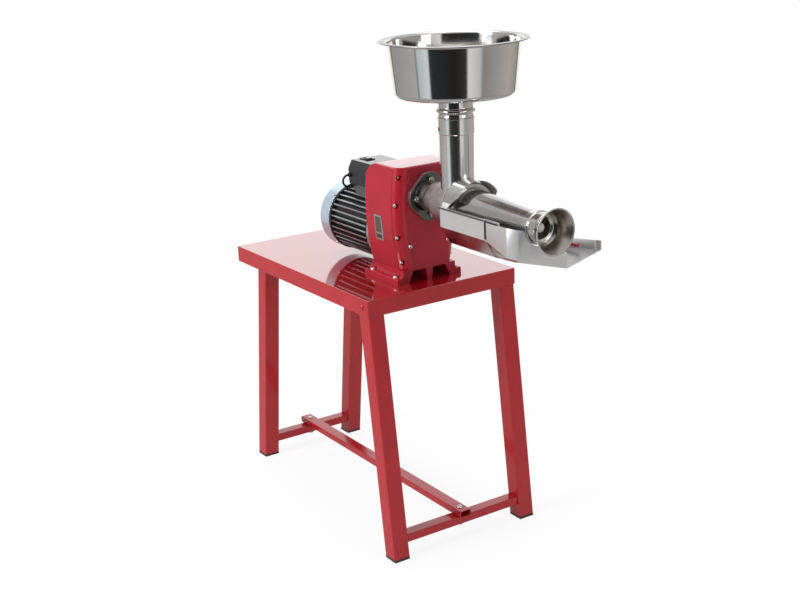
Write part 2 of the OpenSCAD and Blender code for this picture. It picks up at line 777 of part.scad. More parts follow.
// Gears. A tooth flank is an involute of the base circle; half_angle gives half the tooth at radius r
function roll(r, base) = sqrt(max(pow(r / base, 2) - 1, 0));
function involute(t) = t * 180 / PI - atan(t);
function half_angle(r, m, z) = 90 / z - backlash / 4 / (m * z / 2) * 180 / PI
    + involute(tan(pressure_angle)) - involute(roll(r, m * z / 2 * cos(pressure_angle)));
function polar(r, a) = [r * cos(a), r * sin(a)];
function tooth_points(m, z, a) =
    let (base = m * z / 2 * cos(pressure_angle), root = m * z / 2 - 1.25 * m, tip = m * z / 2 + m,
        low = max(base, root), radii = [for (i = [0:2]) low + (tip - low) * i / 2])
    concat(
        [polar(root, a - half_angle(low, m, z))],
        [for (r = radii) polar(r, a - half_angle(r, m, z))],
        [for (i = [2:-1:0]) polar(radii[i], a + half_angle(radii[i], m, z))],
        [polar(root, a + half_angle(low, m, z))]
    );
function gear_points(m, z, start) =
    [for (i = [0:z - 1]) each tooth_points(m, z, start + 360 * i / z)];
// Teeth of one gear from x0 to x1 round the height h; start turns the first tooth
module teeth(m, z, x0, x1, h, start) {
    span_x(x0, x1) translate([0, h]) polygon(gear_points(m, z, start));
}

module output_shaft() {
    color("silver") placed() {
        turned_x(axis_z) polygon([
            [0, cavity_x + 2.5], [output_tail_r - 1, cavity_x + 2.5], [output_tail_r, cavity_x + 3.5],
            [output_tail_r, slow_x - 2], [output_r, slow_x - 2], [output_r, square_x], [0, square_x]
        ]);
        translate([square_x, -square_side / 2, axis_z - square_side / 2])
            cube([square_end - square_x, square_side, square_side]);
    }
}
module output_wheel() {
    pitch = slow_module * output_teeth / 2;
    color("darkgray") placed() difference() {
        union() {
            teeth(slow_module, output_teeth, slow_x, slow_x + slow_face, axis_z, -90 + 180 / output_teeth);
            rod_x(output_r + 8, slow_x, slow_x + slow_face + 8, 0, axis_z);
        }
        rod_x(output_r + seat, slow_x - e, slow_x + slow_face + 10, 0, axis_z);
        for (a = [0:60:300]) rotate_about_axis(axis_z, a)
            rod_x(3.5, slow_x - e, slow_x + slow_face + e, (output_r + 8 + pitch) / 2 - 0.5, axis_z);
    }
}
module rotate_about_axis(h, a) translate([0, 0, h]) rotate([a, 0, 0]) translate([0, 0, -h]) children();
module idler_shaft() {
    end = front_bearing_x + bearing_l - 3;
    color("silver") placed() union() {
        rod_x(idler_r, cavity_x + 2.5, end, 0, idler_z);
        teeth(slow_module, pinion_teeth, slow_x - 1, slow_x + slow_face + 1, idler_z, 90);
    }
}
module idler_wheel() {
    pitch = fast_module * idler_teeth / 2;
    color("darkgray") placed() difference() {
        union() {
            teeth(fast_module, idler_teeth, fast_x, fast_x + fast_face, idler_z, -90 + 180 / idler_teeth);
            rod_x(idler_r + 6, fast_x, fast_x + fast_face + 4, 0, idler_z);
        }
        rod_x(idler_r + seat, fast_x - e, fast_x + fast_face + 6, 0, idler_z);
        for (a = [0:60:300]) rotate_about_axis(idler_z, a)
            rod_x(5, fast_x - e, fast_x + fast_face + e, (idler_r + 6 + pitch) / 2 - 0.5, idler_z);
    }
}
// A ball bearing as its two races with the balls between them, drawn as one closed ring
module bearing(r_in, r_out, x0, length, z) {
    mid = (r_in + r_out) / 2;
    turned_x(z) polygon([
        [r_in, x0], [mid - 2, x0], [mid - 2, x0 + 1], [mid + 2, x0 + 1], [mid + 2, x0], [r_out, x0],
        [r_out, x0 + length], [mid + 2, x0 + length], [mid + 2, x0 + length - 1],
        [mid - 2, x0 + length - 1], [mid - 2, x0 + length], [r_in, x0 + length]
    ]);
}
module gearbox_bearings() {
    rear = cavity_x + boss_l - bearing_l;
    color("silver") placed() {
        bearing(output_tail_r + run_gap, tail_bearing_r, rear, bearing_l, axis_z);
        bearing(idler_r + run_gap, small_bearing_r, rear, bearing_l, idler_z);
        bearing(output_r + run_gap, big_bearing_r, front_bearing_x, front_bearing_l, axis_z);
        bearing(idler_r + run_gap, small_bearing_r, front_bearing_x, bearing_l - 2, idler_z);
    }
}
module shaft_seals() {
    color("black") placed() {
        ring_along_x(output_r + run_gap, seal_r - seat, case_front - seal_l, case_front, axis_z);
        ring_along_x(output_r + run_gap, body_bore_r - seat, case_front + 1, case_front + 9, axis_z);
    }
}

// Motor

module rotor_shaft() {
    end = fast_x + fast_face + 1;
    color("silver") placed() union() {
        rod_x(rotor_r, fan_x - 16, fast_x - 3, 0, motor_z);
        rod_x(fast_module * rotor_teeth / 2 - 1.25 * fast_module, fast_x - 4, end, 0, motor_z);
        teeth(fast_module, rotor_teeth, fast_x - 1, end, motor_z, 90);
    }
}
module rotor_core() {
    color("gray") placed()
        ring_along_x(rotor_r + seat, rotor_core_r, core_x, core_x + core_l, motor_z);
}
module stator_core() {
    color("gray") placed()
        ring_along_x(rotor_core_r + air_gap, tube_in_r - seat, core_x, core_x + core_l, motor_z);
}
module stator_windings() {
    color("peru") placed() for (x = [core_x - winding_l - seat, core_x + core_l + seat])
        turned_x(motor_z) polygon([
            [rotor_core_r + 3, x], [tube_in_r - 6, x + 3], [tube_in_r - 4, x + winding_l / 2],
            [tube_in_r - 6, x + winding_l - 3], [rotor_core_r + 3, x + winding_l]
        ]);
}
module motor_housing() {
    fin_top = pad_z - motor_z;
    color("slategray") placed() difference() {
        union() {
            span_x(motor_x, shield_x) translate([0, motor_z]) union() {
                circle(r = tube_out_r);
                for (i = [0:fin_count - 1]) rotate(360 * i / fin_count)
                    translate([0, -fin_t / 2]) square([fin_r, fin_t]);
            }
            translate([pad_x0, -pad_half_w, motor_z]) cube([pad_x1 - pad_x0, 2 * pad_half_w, fin_top]);
        }
        rod_x(tube_in_r, motor_x - e, shield_x + e, 0, motor_z);
        translate([(pad_x0 + pad_x1) / 2 - 14, -9, motor_z]) cube([28, 18, fin_r + e]);
    }
}
module drive_end_shield() {
    color("slategray") placed() difference() {
        turned_x(motor_z) polygon([
            [0, shield_x], [fin_r - 3, shield_x], [fin_r, shield_x + 3], [fin_r, case_x], [40, case_x],
            [40, cavity_x - 1], [0, cavity_x - 1]
        ]);
        rod_x(motor_bearing_r + seat, shield_x - e, shield_x + bearing_l, 0, motor_z);
        rod_x(rotor_r + 1, shield_x, cavity_x, 0, motor_z);
    }
}
module rear_end_shield() {
    color("black") placed() difference() {
        turned_x(motor_z) polygon([
            [0, rear_x], [cowl_r - cowl_t - seat, rear_x], [cowl_r - cowl_t - seat, motor_x - 5],
            [cowl_r - 1.5, motor_x - 4], [cowl_r - 1.5, motor_x], [tube_in_r - seat, motor_x],
            [tube_in_r - seat, motor_x + 4], [motor_bearing_r + 8, motor_x + 4],
            [motor_bearing_r + 6, motor_x + 8], [0, motor_x + 8]
        ]);
        rod_x(motor_bearing_r + seat, motor_x - 4, motor_x + 9, 0, motor_z);
        rod_x(rotor_r + 1, rear_x - e, motor_x, 0, motor_z);
    }
}
module motor_bearings() {
    color("silver") placed() {
        bearing(rotor_r + run_gap, motor_bearing_r, shield_x, bearing_l, motor_z);
        bearing(rotor_r + run_gap, motor_bearing_r, motor_x - 4, bearing_l, motor_z);
    }
}
module cooling_fan() {
    hub = rotor_r + 7;
    fan_l = cowl_l * 0.36;
    color("dimgray") placed() difference() {
        union() {
            rod_x(hub, fan_x - fan_l, fan_x, 0, motor_z);
            rod_x(fan_r - 4, fan_x - 3, fan_x, 0, motor_z);
            for (i = [0:fan_blades - 1]) rotate_about_axis(motor_z, 360 * i / fan_blades)
                translate([fan_x - fan_l, hub - 2, motor_z - 1.25]) cube([fan_l, fan_r - hub + 2, 2.5]);
        }
        rod_x(rotor_r + seat, fan_x - 1.2 * fan_l, fan_x + e, 0, motor_z);
    }
}
// Drawn cowl with a rounded rear edge and three rings of air slots
module fan_cowl() {
    end = rear_x + 4;
    edge = 9;
    out = concat([[0, cowl_x]], arc(cowl_r - edge, cowl_x + edge, edge, -90, 0, 6), [[cowl_r, end]]);
    inn = concat([[cowl_r - cowl_t, end]],
        arc(cowl_r - edge, cowl_x + edge, edge - cowl_t, 0, -90, 6), [[0, cowl_x + cowl_t]]);
    color("lightsteelblue") placed() difference() {
        turned_x(motor_z) polygon(concat(out, inn));
        for (ring = [0:2], i = [0:11 + 4 * ring]) rotate_about_axis(motor_z, 360 * i / (12 + 4 * ring))
            rod_x(3.4, cowl_x - e, cowl_x + 4, 24 + 14 * ring, motor_z);
        for (a = [45:90:315]) rotate_about_axis(motor_z, a)
            rod_y(2.6, cowl_r - 4, cowl_r + 4, end - 4.6, motor_z);
    }
}
module cowl_screws() {
    end = rear_x + 4;
    color("silver") placed() for (a = [45:90:315]) rotate_about_axis(motor_z, a)
        translate([end - 4.6, cowl_r, motor_z]) rotate([-90, 0, 0]) rotate_extrude()
            polygon([[0, -0.9], [2.5, -0.9], [2.5, 0.1], [4, 0.1], [3.4, 1.6], [0, 2.2]]);
}

// Switch box on the motor

module terminal_base() {
    skirt_low = motor_z + sqrt(pow(fin_r, 2) - pow(pad_half_w + 1, 2)) + 1;
    color("black") placed() difference() {
        union() {
            translate([box_x0 + 4, -base_half_w, base_z]) cube([box_l - 6, 2 * base_half_w, base_h]);
            for (s = [0, 1]) mirror([0, s, 0]) span_x(pad_x0, pad_x1) polygon([
                [pad_half_w + 1, base_z + 1], [pad_half_w + 1, skirt_low],
                [base_half_w, skirt_low - 3], [base_half_w, base_z + 1]
            ]);
        }
        translate([(pad_x0 + pad_x1) / 2 - 14, -9, base_z - e]) cube([28, 18, base_h + 2 * e]);
        rod_y(lead_r + seat, -base_half_w - e, -base_half_w + 14, loop_x, loop_low);
    }
}
// Side view of the box with its sloped rear corner, drawn in by d
module box_side(d) {
    polygon([
        [box_x0 + 2 + d, box_z + d], [box_x0 + d, box_z + box_h * 0.3], [box_x0 + d, box_z + box_h * 0.62],
        [box_x0 + 17 + d * 0.5, box_top - d], [box_x1 - 3, box_top - d], [box_x1 - d, box_top - 3 - d / 2],
        [box_x1 - d, box_z + d]
    ]);
}
module box_shell() difference() {
    span_y(-box_w / 2, box_w / 2) box_side(0);
    span_y(-box_w / 2 + box_wall, box_w / 2 - box_wall) box_side(box_wall);
}
module switch_box() {
    color("dimgray") placed() difference() {
        box_shell();
        translate([box_x0 - e, -box_w, lid_z]) cube([box_l + 2 * e, 2 * box_w, box_h]);
        translate([(pad_x0 + pad_x1) / 2 - 14, -9, box_z - e]) cube([28, 18, box_wall + 2 * e]);
        rod_y(lead_r + seat, -box_w / 2 - e, -box_w / 2 + 10, loop_x, loop_high);
    }
}
rocker_x = box_x0 + 38;
rocker_y = -10;
module switch_lid() {
    color("black") placed() difference() {
        union() {
            intersection() {
                box_shell();
                translate([box_x0 - e, -box_w, lid_z + seat]) cube([box_l + 2 * e, 2 * box_w, box_h]);
            }
            translate([rocker_x - rocker_l / 2 - 4, rocker_y - rocker_w / 2 - 4, box_top - 0.5])
                cube([rocker_l + 8, rocker_w + 8, 2.5]);
            translate([rocker_x - rocker_l / 2 - 4, rocker_y - rocker_w / 2 - 4, box_top - 12])
                cube([rocker_l + 8, rocker_w + 8, 11.9]);
        }
        translate([rocker_x - rocker_l / 2 - 0.5, rocker_y - rocker_w / 2 - 0.5, box_top - 10])
            cube([rocker_l + 1, rocker_w + 1, 15]);
        rod_y(2 + run_gap, rocker_y - rocker_w / 2 - 2.5, rocker_y + rocker_w / 2 + 2.5,
            rocker_x, box_top - 3);
    }
}
// Rocker that tilts on its own cross pin in the lid; it rests tilted back, switched off
module switch_rocker() {
    tilt = 9;
    color("black") placed() translate([rocker_x, rocker_y, box_top - 3]) rotate([0, -tilt, 0]) {
        rotate([90, 0, 0]) translate([0, 0, -rocker_w / 2]) linear_extrude(height = rocker_w) polygon([
            [-rocker_l / 2 + 1, 0], [-rocker_l / 2 + 1, 5], [0, 6.4], [rocker_l / 2 - 1, 5],
            [rocker_l / 2 - 1, 0], [4, -4], [-4, -4]
        ]);
        rod_y(2, -rocker_w / 2 - 2, rocker_w / 2 + 2, 0, 0);
    }
}
module run_capacitor() {
    r = 15;
    color("whitesmoke") placed() rod_x(r, box_x0 + 46, box_x0 + 96, -box_w / 2 + box_wall + r + 1,
        box_z + box_wall + r + seat);
}
// Lead loop beside the box: two straight ends joined by a half turn
module motor_lead() {
    color("black") placed() {
        rod_y(lead_r, loop_y, -box_w / 2 + 6, loop_x, loop_high);
        rod_y(lead_r, loop_y, -base_half_w + 12, loop_x, loop_low);
        translate([loop_x, loop_y, loop_high - loop_r]) rotate([90, 0, 90]) rotate([0, 0, 90])
            rotate_extrude(angle = 180) translate([loop_r, 0]) circle(r = lead_r, $fn = 24);
    }
}
module lead_glands() {
    color("black") placed() for (place = [[-box_w / 2, loop_high], [-base_half_w, loop_low]]) difference() {
        rod_y(lead_r + 2.5, place[0] - 6, place[0], loop_x, place[1]);
        rod_y(lead_r + seat, place[0] - 7, place[0] + e, loop_x, place[1]);
    }
}

// Strainer

module flange_places() {
    for (a = [0:90:270]) translate([0, stud_pitch_r * cos(a), axis_z + stud_pitch_r * sin(a)]) children();
}
// A square stood on its corner, with its corners cut round
module flange_outline() intersection() {
    circle(r = flange_r);
    rotate(45) square(2 * flange_flat, center = true);
}
module strainer_body() {
    in_r = body_r - body_wall;
    color("lightgray") placed() difference() {
        union() {
            span_x(case_front, neck_x) translate([0, axis_z]) flange_outline();
            turned_x(axis_z) polygon([
                [0, case_front], [waist_r + 2, case_front], [waist_r + 2, neck_x - 1], [waist_r + 1, neck_x],
                [waist_r + 1, neck_x + 3],
                [waist_r, barrel_x], [neck_r - 2.5, barrel_x + 2], [neck_r, barrel_x + 14],
                [neck_r, wide_x - 12], [neck_r + 4, wide_x - 9], [body_r - 3, wide_x - 2], [body_r, wide_x + 1],
                [body_r, body_end], [0, body_end]
            ]);
            difference() {
                rod_x(collar_r, collar_x, collar_x + collar_l, 0, axis_z);
                translate([collar_x - e, -tube_low_r, axis_z])
                    cube([collar_l + 2 * e, 2 * tube_low_r, 2 * body_r]);
            }
            rod_z(tube_low_r - tube_t - seat, axis_z, axis_z + body_r + 18, feed_x, 0);
        }
        turned_x(axis_z) polygon([
            [0, case_front - e], [body_bore_r, case_front - e], [body_bore_r, wide_x - 10], [in_r, wide_x + 5],
            [in_r, body_end + e], [0, body_end + e]
        ]);
        rod_z(tube_low_r - tube_t - 3, axis_z, axis_z + body_r + 19, feed_x, 0);
        flange_places() translate([case_front - e, 0, 0]) rotate([90, 0, 90])
            cylinder(r = hole_r, h = flange_t + 2 * e);
    }
}
module flange_studs() {
    color("silver") placed() flange_places() translate([case_front - 5, 0, 0]) rotate([90, 0, 90])
        cylinder(r = screw_r, h = flange_t + nut_h + 10);
}
module flange_nuts() {
    color("silver") placed() flange_places() translate([neck_x, 0, 0]) rotate([90, 0, 90]) hex_nut();
}
// Rolled sheet tube with a wider socket on top; its foot is cut to sit on the body
module feed_tube() {
    top = axis_z + tube_h;
    step = top - socket_h;
    color("lightgray") placed() difference() {
        turned_z(feed_x) polygon([
            [tube_low_r - tube_t, axis_z + 20], [tube_low_r, axis_z + 20], [tube_low_r, axis_z + body_r + 15],
            [tube_r, step - 1], [socket_r, step], [socket_r, top - 2], [socket_r + 1, top - 1.5],
            [socket_r + 1, top - 0.5], [socket_r, top], [socket_r - tube_t, top], [socket_r - tube_t, step + 2],
            [tube_r - tube_t, step], [tube_low_r - tube_t, axis_z + body_r + 15]
        ]);
        rod_x(body_r + seat, wide_x - 20, body_end + 20, 0, axis_z);
        translate([feed_x - socket_r - e, 0, step + 9]) rotate([90, 0, 90]) cylinder(r = 2.5, h = 8);
    }
}
// Spun bowl: spigot inside the tube, neck with a bead, sloped floor, flared wall, flat rim rolled down
module hopper() {
    top = axis_z + tube_h;
    spigot_r = tube_r - tube_t - 1;
    floor = top + hopper_neck_h;
    rim = floor + bowl_h;
    t = hopper_t;
    neck = socket_r - 1.5;
    lean = atan((bowl_r - bowl_floor_r) / bowl_h);
    c_r = bowl_corner_r;
    corner = [bowl_floor_r - c_r, floor + 4 + c_r];
    color("silver") placed() turned_z(feed_x) polygon(concat(
        [[spigot_r, top - spigot_h], [spigot_r + 0.6, top + part_gap], [neck + 1, top + part_gap]],
        [[neck + 1, top + 3], [neck, top + 6], [neck, top + 9.5]],
        [[bead_r - 0.8, top + 12], [bead_r, top + 14], [bead_r - 0.8, top + 16], [neck, top + 20]],
        [[neck - 0.4, floor - 6], [neck + 1, floor - 2], [neck + 4, floor]],
        arc(corner[0], corner[1], c_r, -88, -lean, 6),
        [[bowl_r, rim - 6], [bowl_r + 2, rim - 2.5], [rim_r - 4, rim - 2.2]],
        arc(rim_r - 2, rim - 2, 2, -100, 90, 6),
        [[bowl_r + 1, rim], [bowl_r - t, rim - 3]],
        arc(corner[0], corner[1], c_r - t, -lean, -88, 6),
        [[neck + 3, floor + t], [neck - 1.5, floor - 2.5]],
        [[neck - t - 0.4, floor - 8], [neck - t, top + 20], [neck - t, top + 4]],
        [[spigot_r - t, top], [spigot_r - t, top - spigot_h]]
    ));
}
// Moulded screw: a hub over the square drive, then a tapered core with one helical flight
module auger() {
    length = auger_end - auger_x;
    in_r = body_r - body_wall;
    big = in_r - 2;
    small = cone_small_r - cone_t - 2;
    color("ivory") placed() difference() {
        union() {
            rod_x(auger_core_r + 2, hub_x, auger_x + 6, 0, axis_z);
            translate([auger_x, 0, axis_z]) rotate([90, 0, 90])
                linear_extrude(height = length, twist = -360 * auger_turns, scale = small / big, slices = 56,
                    segments = 28)
                    union() {
                        circle(r = auger_core_r, $fn = 16);
                        translate([0, -flight_t / 2]) square([big, flight_t]);
                    }
        }
        translate([hub_x - e, -square_side / 2 - 0.1, axis_z - square_side / 2 - 0.1])
            cube([square_end - hub_x + 2 * e, square_side + 0.2, square_side + 0.2]);
    }
}
module sieve_cone() {
    color("silver") placed() turned_x(axis_z) polygon([
        [cone_big_r - cone_t, body_end + part_gap], [body_r - 1.5, body_end + part_gap],
        [body_r - 1.5, cone_x], [cone_big_r, cone_x], [cone_small_r + 0.3, cone_end - 22],
        [cone_small_r + cone_t, cone_end - 20], [cone_small_r + cone_t, cone_end + 6],
        [cone_small_r, cone_end + 6], [cone_small_r, cone_end - 19], [cone_small_r - cone_t, cone_end - 22],
        [cone_big_r - cone_t, cone_x + 2]
    ]);
}
// Screwed ring that holds the cone's flange against the body
module clamp_ring() {
    groove = 1.2;
    far = ring_x + ring_l;
    color("silver") placed() difference() {
        turned_x(axis_z) polygon([
            [body_r + part_gap, ring_x], [ring_r, ring_x], [ring_r, ring_x + 3], [ring_r - groove, ring_x + 4],
            [ring_r - groove, ring_x + 6], [ring_r, ring_x + 7], [ring_r, ring_x + 10],
            [ring_r - groove, ring_x + 11], [ring_r - 2 * groove, far], [cone_big_r + 0.8, far],
            [cone_big_r + 0.8, cone_x + seat], [body_r + part_gap, cone_x + seat]
        ]);
        for (a = [0:20:340]) rotate_about_axis(axis_z, a)
            rod_x(1.6, ring_x - e, ring_x + 3.5, ring_r + 0.6, axis_z);
    }
}
module waste_bell() {
    neck_end = bell_x + bell_neck_l;
    out_r = bell_in_r + bell_t;
    flare = bell_r - out_r;
    run = bell_front - neck_end;
    steps = 7;
    // The flare follows a quarter of a cosine wave, steep at the mouth
    curve = [for (i = [0:steps]) [out_r + flare * (1 - cos(90 * i / steps)), neck_end + run * i / steps]];
    back = [for (i = [steps:-1:0]) [curve[i][0] - bell_t, curve[i][1]]];
    color("silver") placed() turned_x(axis_z) polygon(concat(
        [[bell_in_r, bell_x], [out_r + 1, bell_x], [out_r + 2, bell_x + 1], [out_r + 2, bell_x + 2.5],
            [out_r, bell_x + 4]],
        curve, back
    ));
}
module outlet_ring() {
    x = cone_end + 6.5;
    color("whitesmoke") placed() turned_x(axis_z) polygon([
        [outlet_r, x + 1], [outlet_r + 1, x], [bell_in_r - seat, x], [bell_in_r - seat, x + 7],
        [outlet_r + 5, x + 7], [outlet_r, x + 4]
    ]);
}

// Sheet band over the wide end of the cone; cut round the feed tube, front corners sloped off
module splash_hood() {
    far = hood_x + hood_l;
    low = rim_z + part_gap;
    color("lightgray") placed() difference() {
        ring_along_x(hood_r - tray_t, hood_r, hood_x, far, axis_z);
        translate([hood_x - e, -2 * hood_r, axis_z - 2 * hood_r])
            cube([hood_l + 2 * e, 4 * hood_r, low - axis_z + 2 * hood_r]);
        rod_z(tube_r + 1, axis_z, axis_z + 2 * hood_r, feed_x, 0);
        span_y(-2 * hood_r, 2 * hood_r)
            polygon([[far + e, axis_z + hood_r * 0.55], [far + e, low - e], [far - 26, low - e]]);
    }
}

// Half of the folded trough section, drawn in by d, from the rim down to the middle
function half_section(d) = [
    [trough_half_w - d, rim_z + (d > 0 ? 5 : 0)],
    [trough_half_w - d, fold_z + d * 0.3],
    [knee_half_w - d * 0.4, knee_z + d],
    [0, floor_z + d]
];
function whole_section(d) = let (h = half_section(d)) concat(
    h, [for (i = [len(h) - 2:-1:0]) [-h[i][0], h[i][1]]]
);
// Tongue that carries the trough's floor over the rear edge of the chute
module trough_tongue() {
    out_d = tray_t + part_gap + 0.9;
    in_d = out_d + tray_t;
    difference() {
        union() {
            span_x(trough_end - 6, trough_end) difference() {
                polygon(whole_section(tray_t * 0.6));
                polygon(whole_section(in_d));
            }
            span_x(trough_end - 1, chute_x + 6) difference() {
                polygon(whole_section(out_d));
                polygon(whole_section(in_d));
            }
        }
        translate([trough_end - 20, -2 * trough_half_w, fold_z - 6])
            cube([60, 4 * trough_half_w, 100]);
    }
    // Near rim carried on inside the chute's wall
    translate([trough_end - 6, -trough_half_w + tray_t * 0.6, rim_z - hem * 3])
        cube([7, in_d - tray_t * 0.6, hem * 3]);
    translate([trough_end - 1, -trough_half_w + out_d, rim_z - hem * 3])
        cube([rim_reach, in_d - out_d, hem * 3]);
}
module juice_trough() {
    color("lightgray") placed() union() {
        trough_sheet();
        trough_tongue();
    }
}
module trough_sheet() {
    difference() {
        union() {
            span_x(trough_x, trough_end) polygon(whole_section(0));
            for (s = [-1, 1]) span_x(trough_x, trough_end)
                translate([s * (trough_half_w + hem / 2), rim_z - hem / 2])
                    square([hem + 0.1, hem], center = true);
            // Two horns of the rear wall reach over the collar's shoulders and hang the trough on it
            for (s = [0, 1]) mirror([0, s, 0]) intersection() {
                rod_x(collar_r + hem, trough_x, trough_x + tray_t, 0, axis_z);
                translate([trough_x - e, tube_low_r + 2, axis_z - 10]) cube([tray_t + 2 * e, collar_r, collar_r]);
            }
        }
        span_x(trough_x + tray_t, trough_end + e) polygon(whole_section(tray_t));
        rod_x(collar_r + seat, trough_x - e, trough_x + 2 * tray_t, 0, axis_z);
    }
}

// Plan of the chute: wall points from the near rear corner, round the front, to the far rear corner.
// Each is [x, y, floor height, rim height]
function chute_ring(d) = let (
    w = trough_half_w - d,
    m = mouth_x - d
) [
    [chute_x - 2 * d, -w, fold_z + d * 0.3, rim_z - 6],
    [trough_end + 71, -w, floor_z + 31 + d, rim_z - 5],
    [m - 20, -w + 14, floor_z + 26 + d, rim_z - 8],
    [m - 10, -w + 34, floor_z + 20 + d, rim_z - 12],
    [m, mouth_near_y - d * 0.4, chute_z + d, chute_z + mouth_near_h],
    [far_x - d * 0.5, mouth_y - d, chute_z + d, chute_z + mouth_far_h],
    [far_rear_x + d, far_rear_y - d * 0.7, chute_z + d, chute_z + mouth_far_h],
    [chute_x - 2 * d, w, fold_z + d * 0.3, rim_z - 1]
];
chute_floor = [[chute_x, 0], [chute_x + 18, 0]];
// Closed hull of the chute; lift raises a copy of its rim to open the top
module chute_solid(d, lift) {
    hull() {
        for (p = chute_ring(d)) {
            translate([p[0], p[1], p[2]]) corner_dot();
            translate([p[0], p[1], p[3] + lift]) corner_dot();
        }
        for (p = chute_floor) translate([p[0] - 2 * d, p[1], floor_z + d]) corner_dot();
        for (s = [-1, 1]) translate([chute_x - 2 * d, s * (knee_half_w - d * 0.4), knee_z + d]) corner_dot();
    }
}
module corner_dot() cube(0.02, center = true);
module juice_chute() {
    t = tray_t;
    near = [mouth_x, mouth_near_y];
    far = [far_x, mouth_y];
    along = (far - near) / norm(far - near);
    out = [along[1], -along[0]];
    a = near + along * 2.2 - out * 14;
    b = far - along * 2.2 - out * 14;
    color("lightgray") placed() difference() {
        chute_solid(0, 0);
        hull() {
            chute_solid(t, 0);
            translate([0, 0, 60]) chute_solid(t, 60);
        }
        span_z(chute_z + t, axis_z + 90) polygon([a, a + out * 40, b + out * 40, b]);
        rod_x(bell_in_r + bell_t + 3.5, chute_x - e, mouth_x + 20, 0, axis_z);
        rod_x(peg_r + seat, far_rear_x - 20, far_rear_x + 40, peg_y, peg_z);
    }
}
// Steel peg through the rear wall of the chute, with its head behind and a red cap in front
module chute_peg() {
    wall = far_rear_x + (chute_x - far_rear_x) * (far_rear_y - peg_y) / (far_rear_y - trough_half_w);
    color("crimson") placed() {
        rod_x(peg_r + 1.4, wall + 4, wall + 4 + peg_cap_l, peg_y, peg_z);
        rod_x(peg_r, wall - 4, wall + 5, peg_y, peg_z);
        rod_x(peg_r + 2, wall - 6, wall - 3, peg_y, peg_z);
    }
}

table_top();
front_near_leg();
front_far_leg();
rear_near_leg();
rear_far_leg();
front_near_cap();
front_far_cap();
rear_near_cap();
rear_far_cap();
rear_cross_rail();
front_stretcher();
rear_stretcher();
long_stretcher();
frame_screws();
frame_nuts();
gearbox_housing();
gearbox_cover();
cover_gasket();
cover_screws();
foot_bolts();
side_plate();
output_shaft();
output_wheel();
idler_shaft();
idler_wheel();
gearbox_bearings();
shaft_seals();
rotor_shaft();
rotor_core();
motor_bearings();
stator_core();
stator_windings();
motor_housing();
drive_end_shield();
rear_end_shield();
cooling_fan();
fan_cowl();
cowl_screws();
terminal_base();
switch_box();
switch_lid();
switch_rocker();
run_capacitor();
motor_lead();
lead_glands();
strainer_body();
flange_studs();
flange_nuts();
feed_tube();
hopper();
auger();
sieve_cone();
clamp_ring();
waste_bell();
outlet_ring();
splash_hood();
juice_trough();
juice_chute();
chute_peg();
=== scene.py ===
"""Looks of an electric tomato strainer on its red table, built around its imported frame.

Lengths are in millimetres, measured from the middle of the table top as in the part's source, and
Skin.build turns them into the frame's metres. X runs to the waste outlet, Y across and Z up.
"""

import json
import logging
import math
from dataclasses import dataclass, field
from enum import Enum

import bmesh
import bpy
import numpy as np
from mathutils import Matrix, Vector


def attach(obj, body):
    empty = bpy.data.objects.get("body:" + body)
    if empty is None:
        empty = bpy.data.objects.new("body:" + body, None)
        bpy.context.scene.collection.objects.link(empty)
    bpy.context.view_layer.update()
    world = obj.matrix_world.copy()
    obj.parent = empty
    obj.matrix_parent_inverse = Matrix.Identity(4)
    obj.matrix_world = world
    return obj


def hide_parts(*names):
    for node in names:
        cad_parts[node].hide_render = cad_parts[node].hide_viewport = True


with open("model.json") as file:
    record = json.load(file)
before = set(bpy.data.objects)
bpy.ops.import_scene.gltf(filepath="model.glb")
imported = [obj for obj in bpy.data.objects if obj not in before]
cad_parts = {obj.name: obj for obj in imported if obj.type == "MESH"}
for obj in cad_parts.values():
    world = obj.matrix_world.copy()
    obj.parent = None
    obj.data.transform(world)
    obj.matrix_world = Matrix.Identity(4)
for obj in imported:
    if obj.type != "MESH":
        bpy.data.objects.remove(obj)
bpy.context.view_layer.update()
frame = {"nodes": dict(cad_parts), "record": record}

logging.basicConfig(level=logging.INFO, format="%(message)s")
LOG = logging.getLogger("strainer")

MM = 0.001
SHIFT = np.array([-158.0, 0.0, 0.0])
FULL_TURN = 2 * math.pi
SHAFT_Z = 792.0  # height of the auger's shaft
FEED_X = 370.0  # middle of the feed tube and the hopper
TUBE_TOP = SHAFT_Z + 189  # upper end of the feed tube
Pair = tuple[float, float]
Triple = tuple[float, float, float]
Piece = bpy.types.Object
Tree = bpy.types.NodeTree
Socket = bpy.types.NodeSocket


class Axis(Enum):
    """The world axis that a turned or extruded shape runs along."""

    X = "x"
    Y = "y"
    Z = "z"


def lay(along: np.ndarray, across: np.ndarray, up: np.ndarray, axis: Axis) -> np.ndarray:
    """Stacks local coordinates as world points.

    Args:
        along: positions along the axis.
        across: first position across it (Y, X or X).
        up: second position across it (Z, Z or Y).
        axis: the axis.

    Returns:
        An array with one more dimension of length 3.
    """
    along, across, up = np.broadcast_arrays(along, across, up)
    order = {Axis.X: (along, across, up), Axis.Y: (across, along, up), Axis.Z: (across, up, along)}
    return np.stack(order[axis], axis=-1).astype(float)


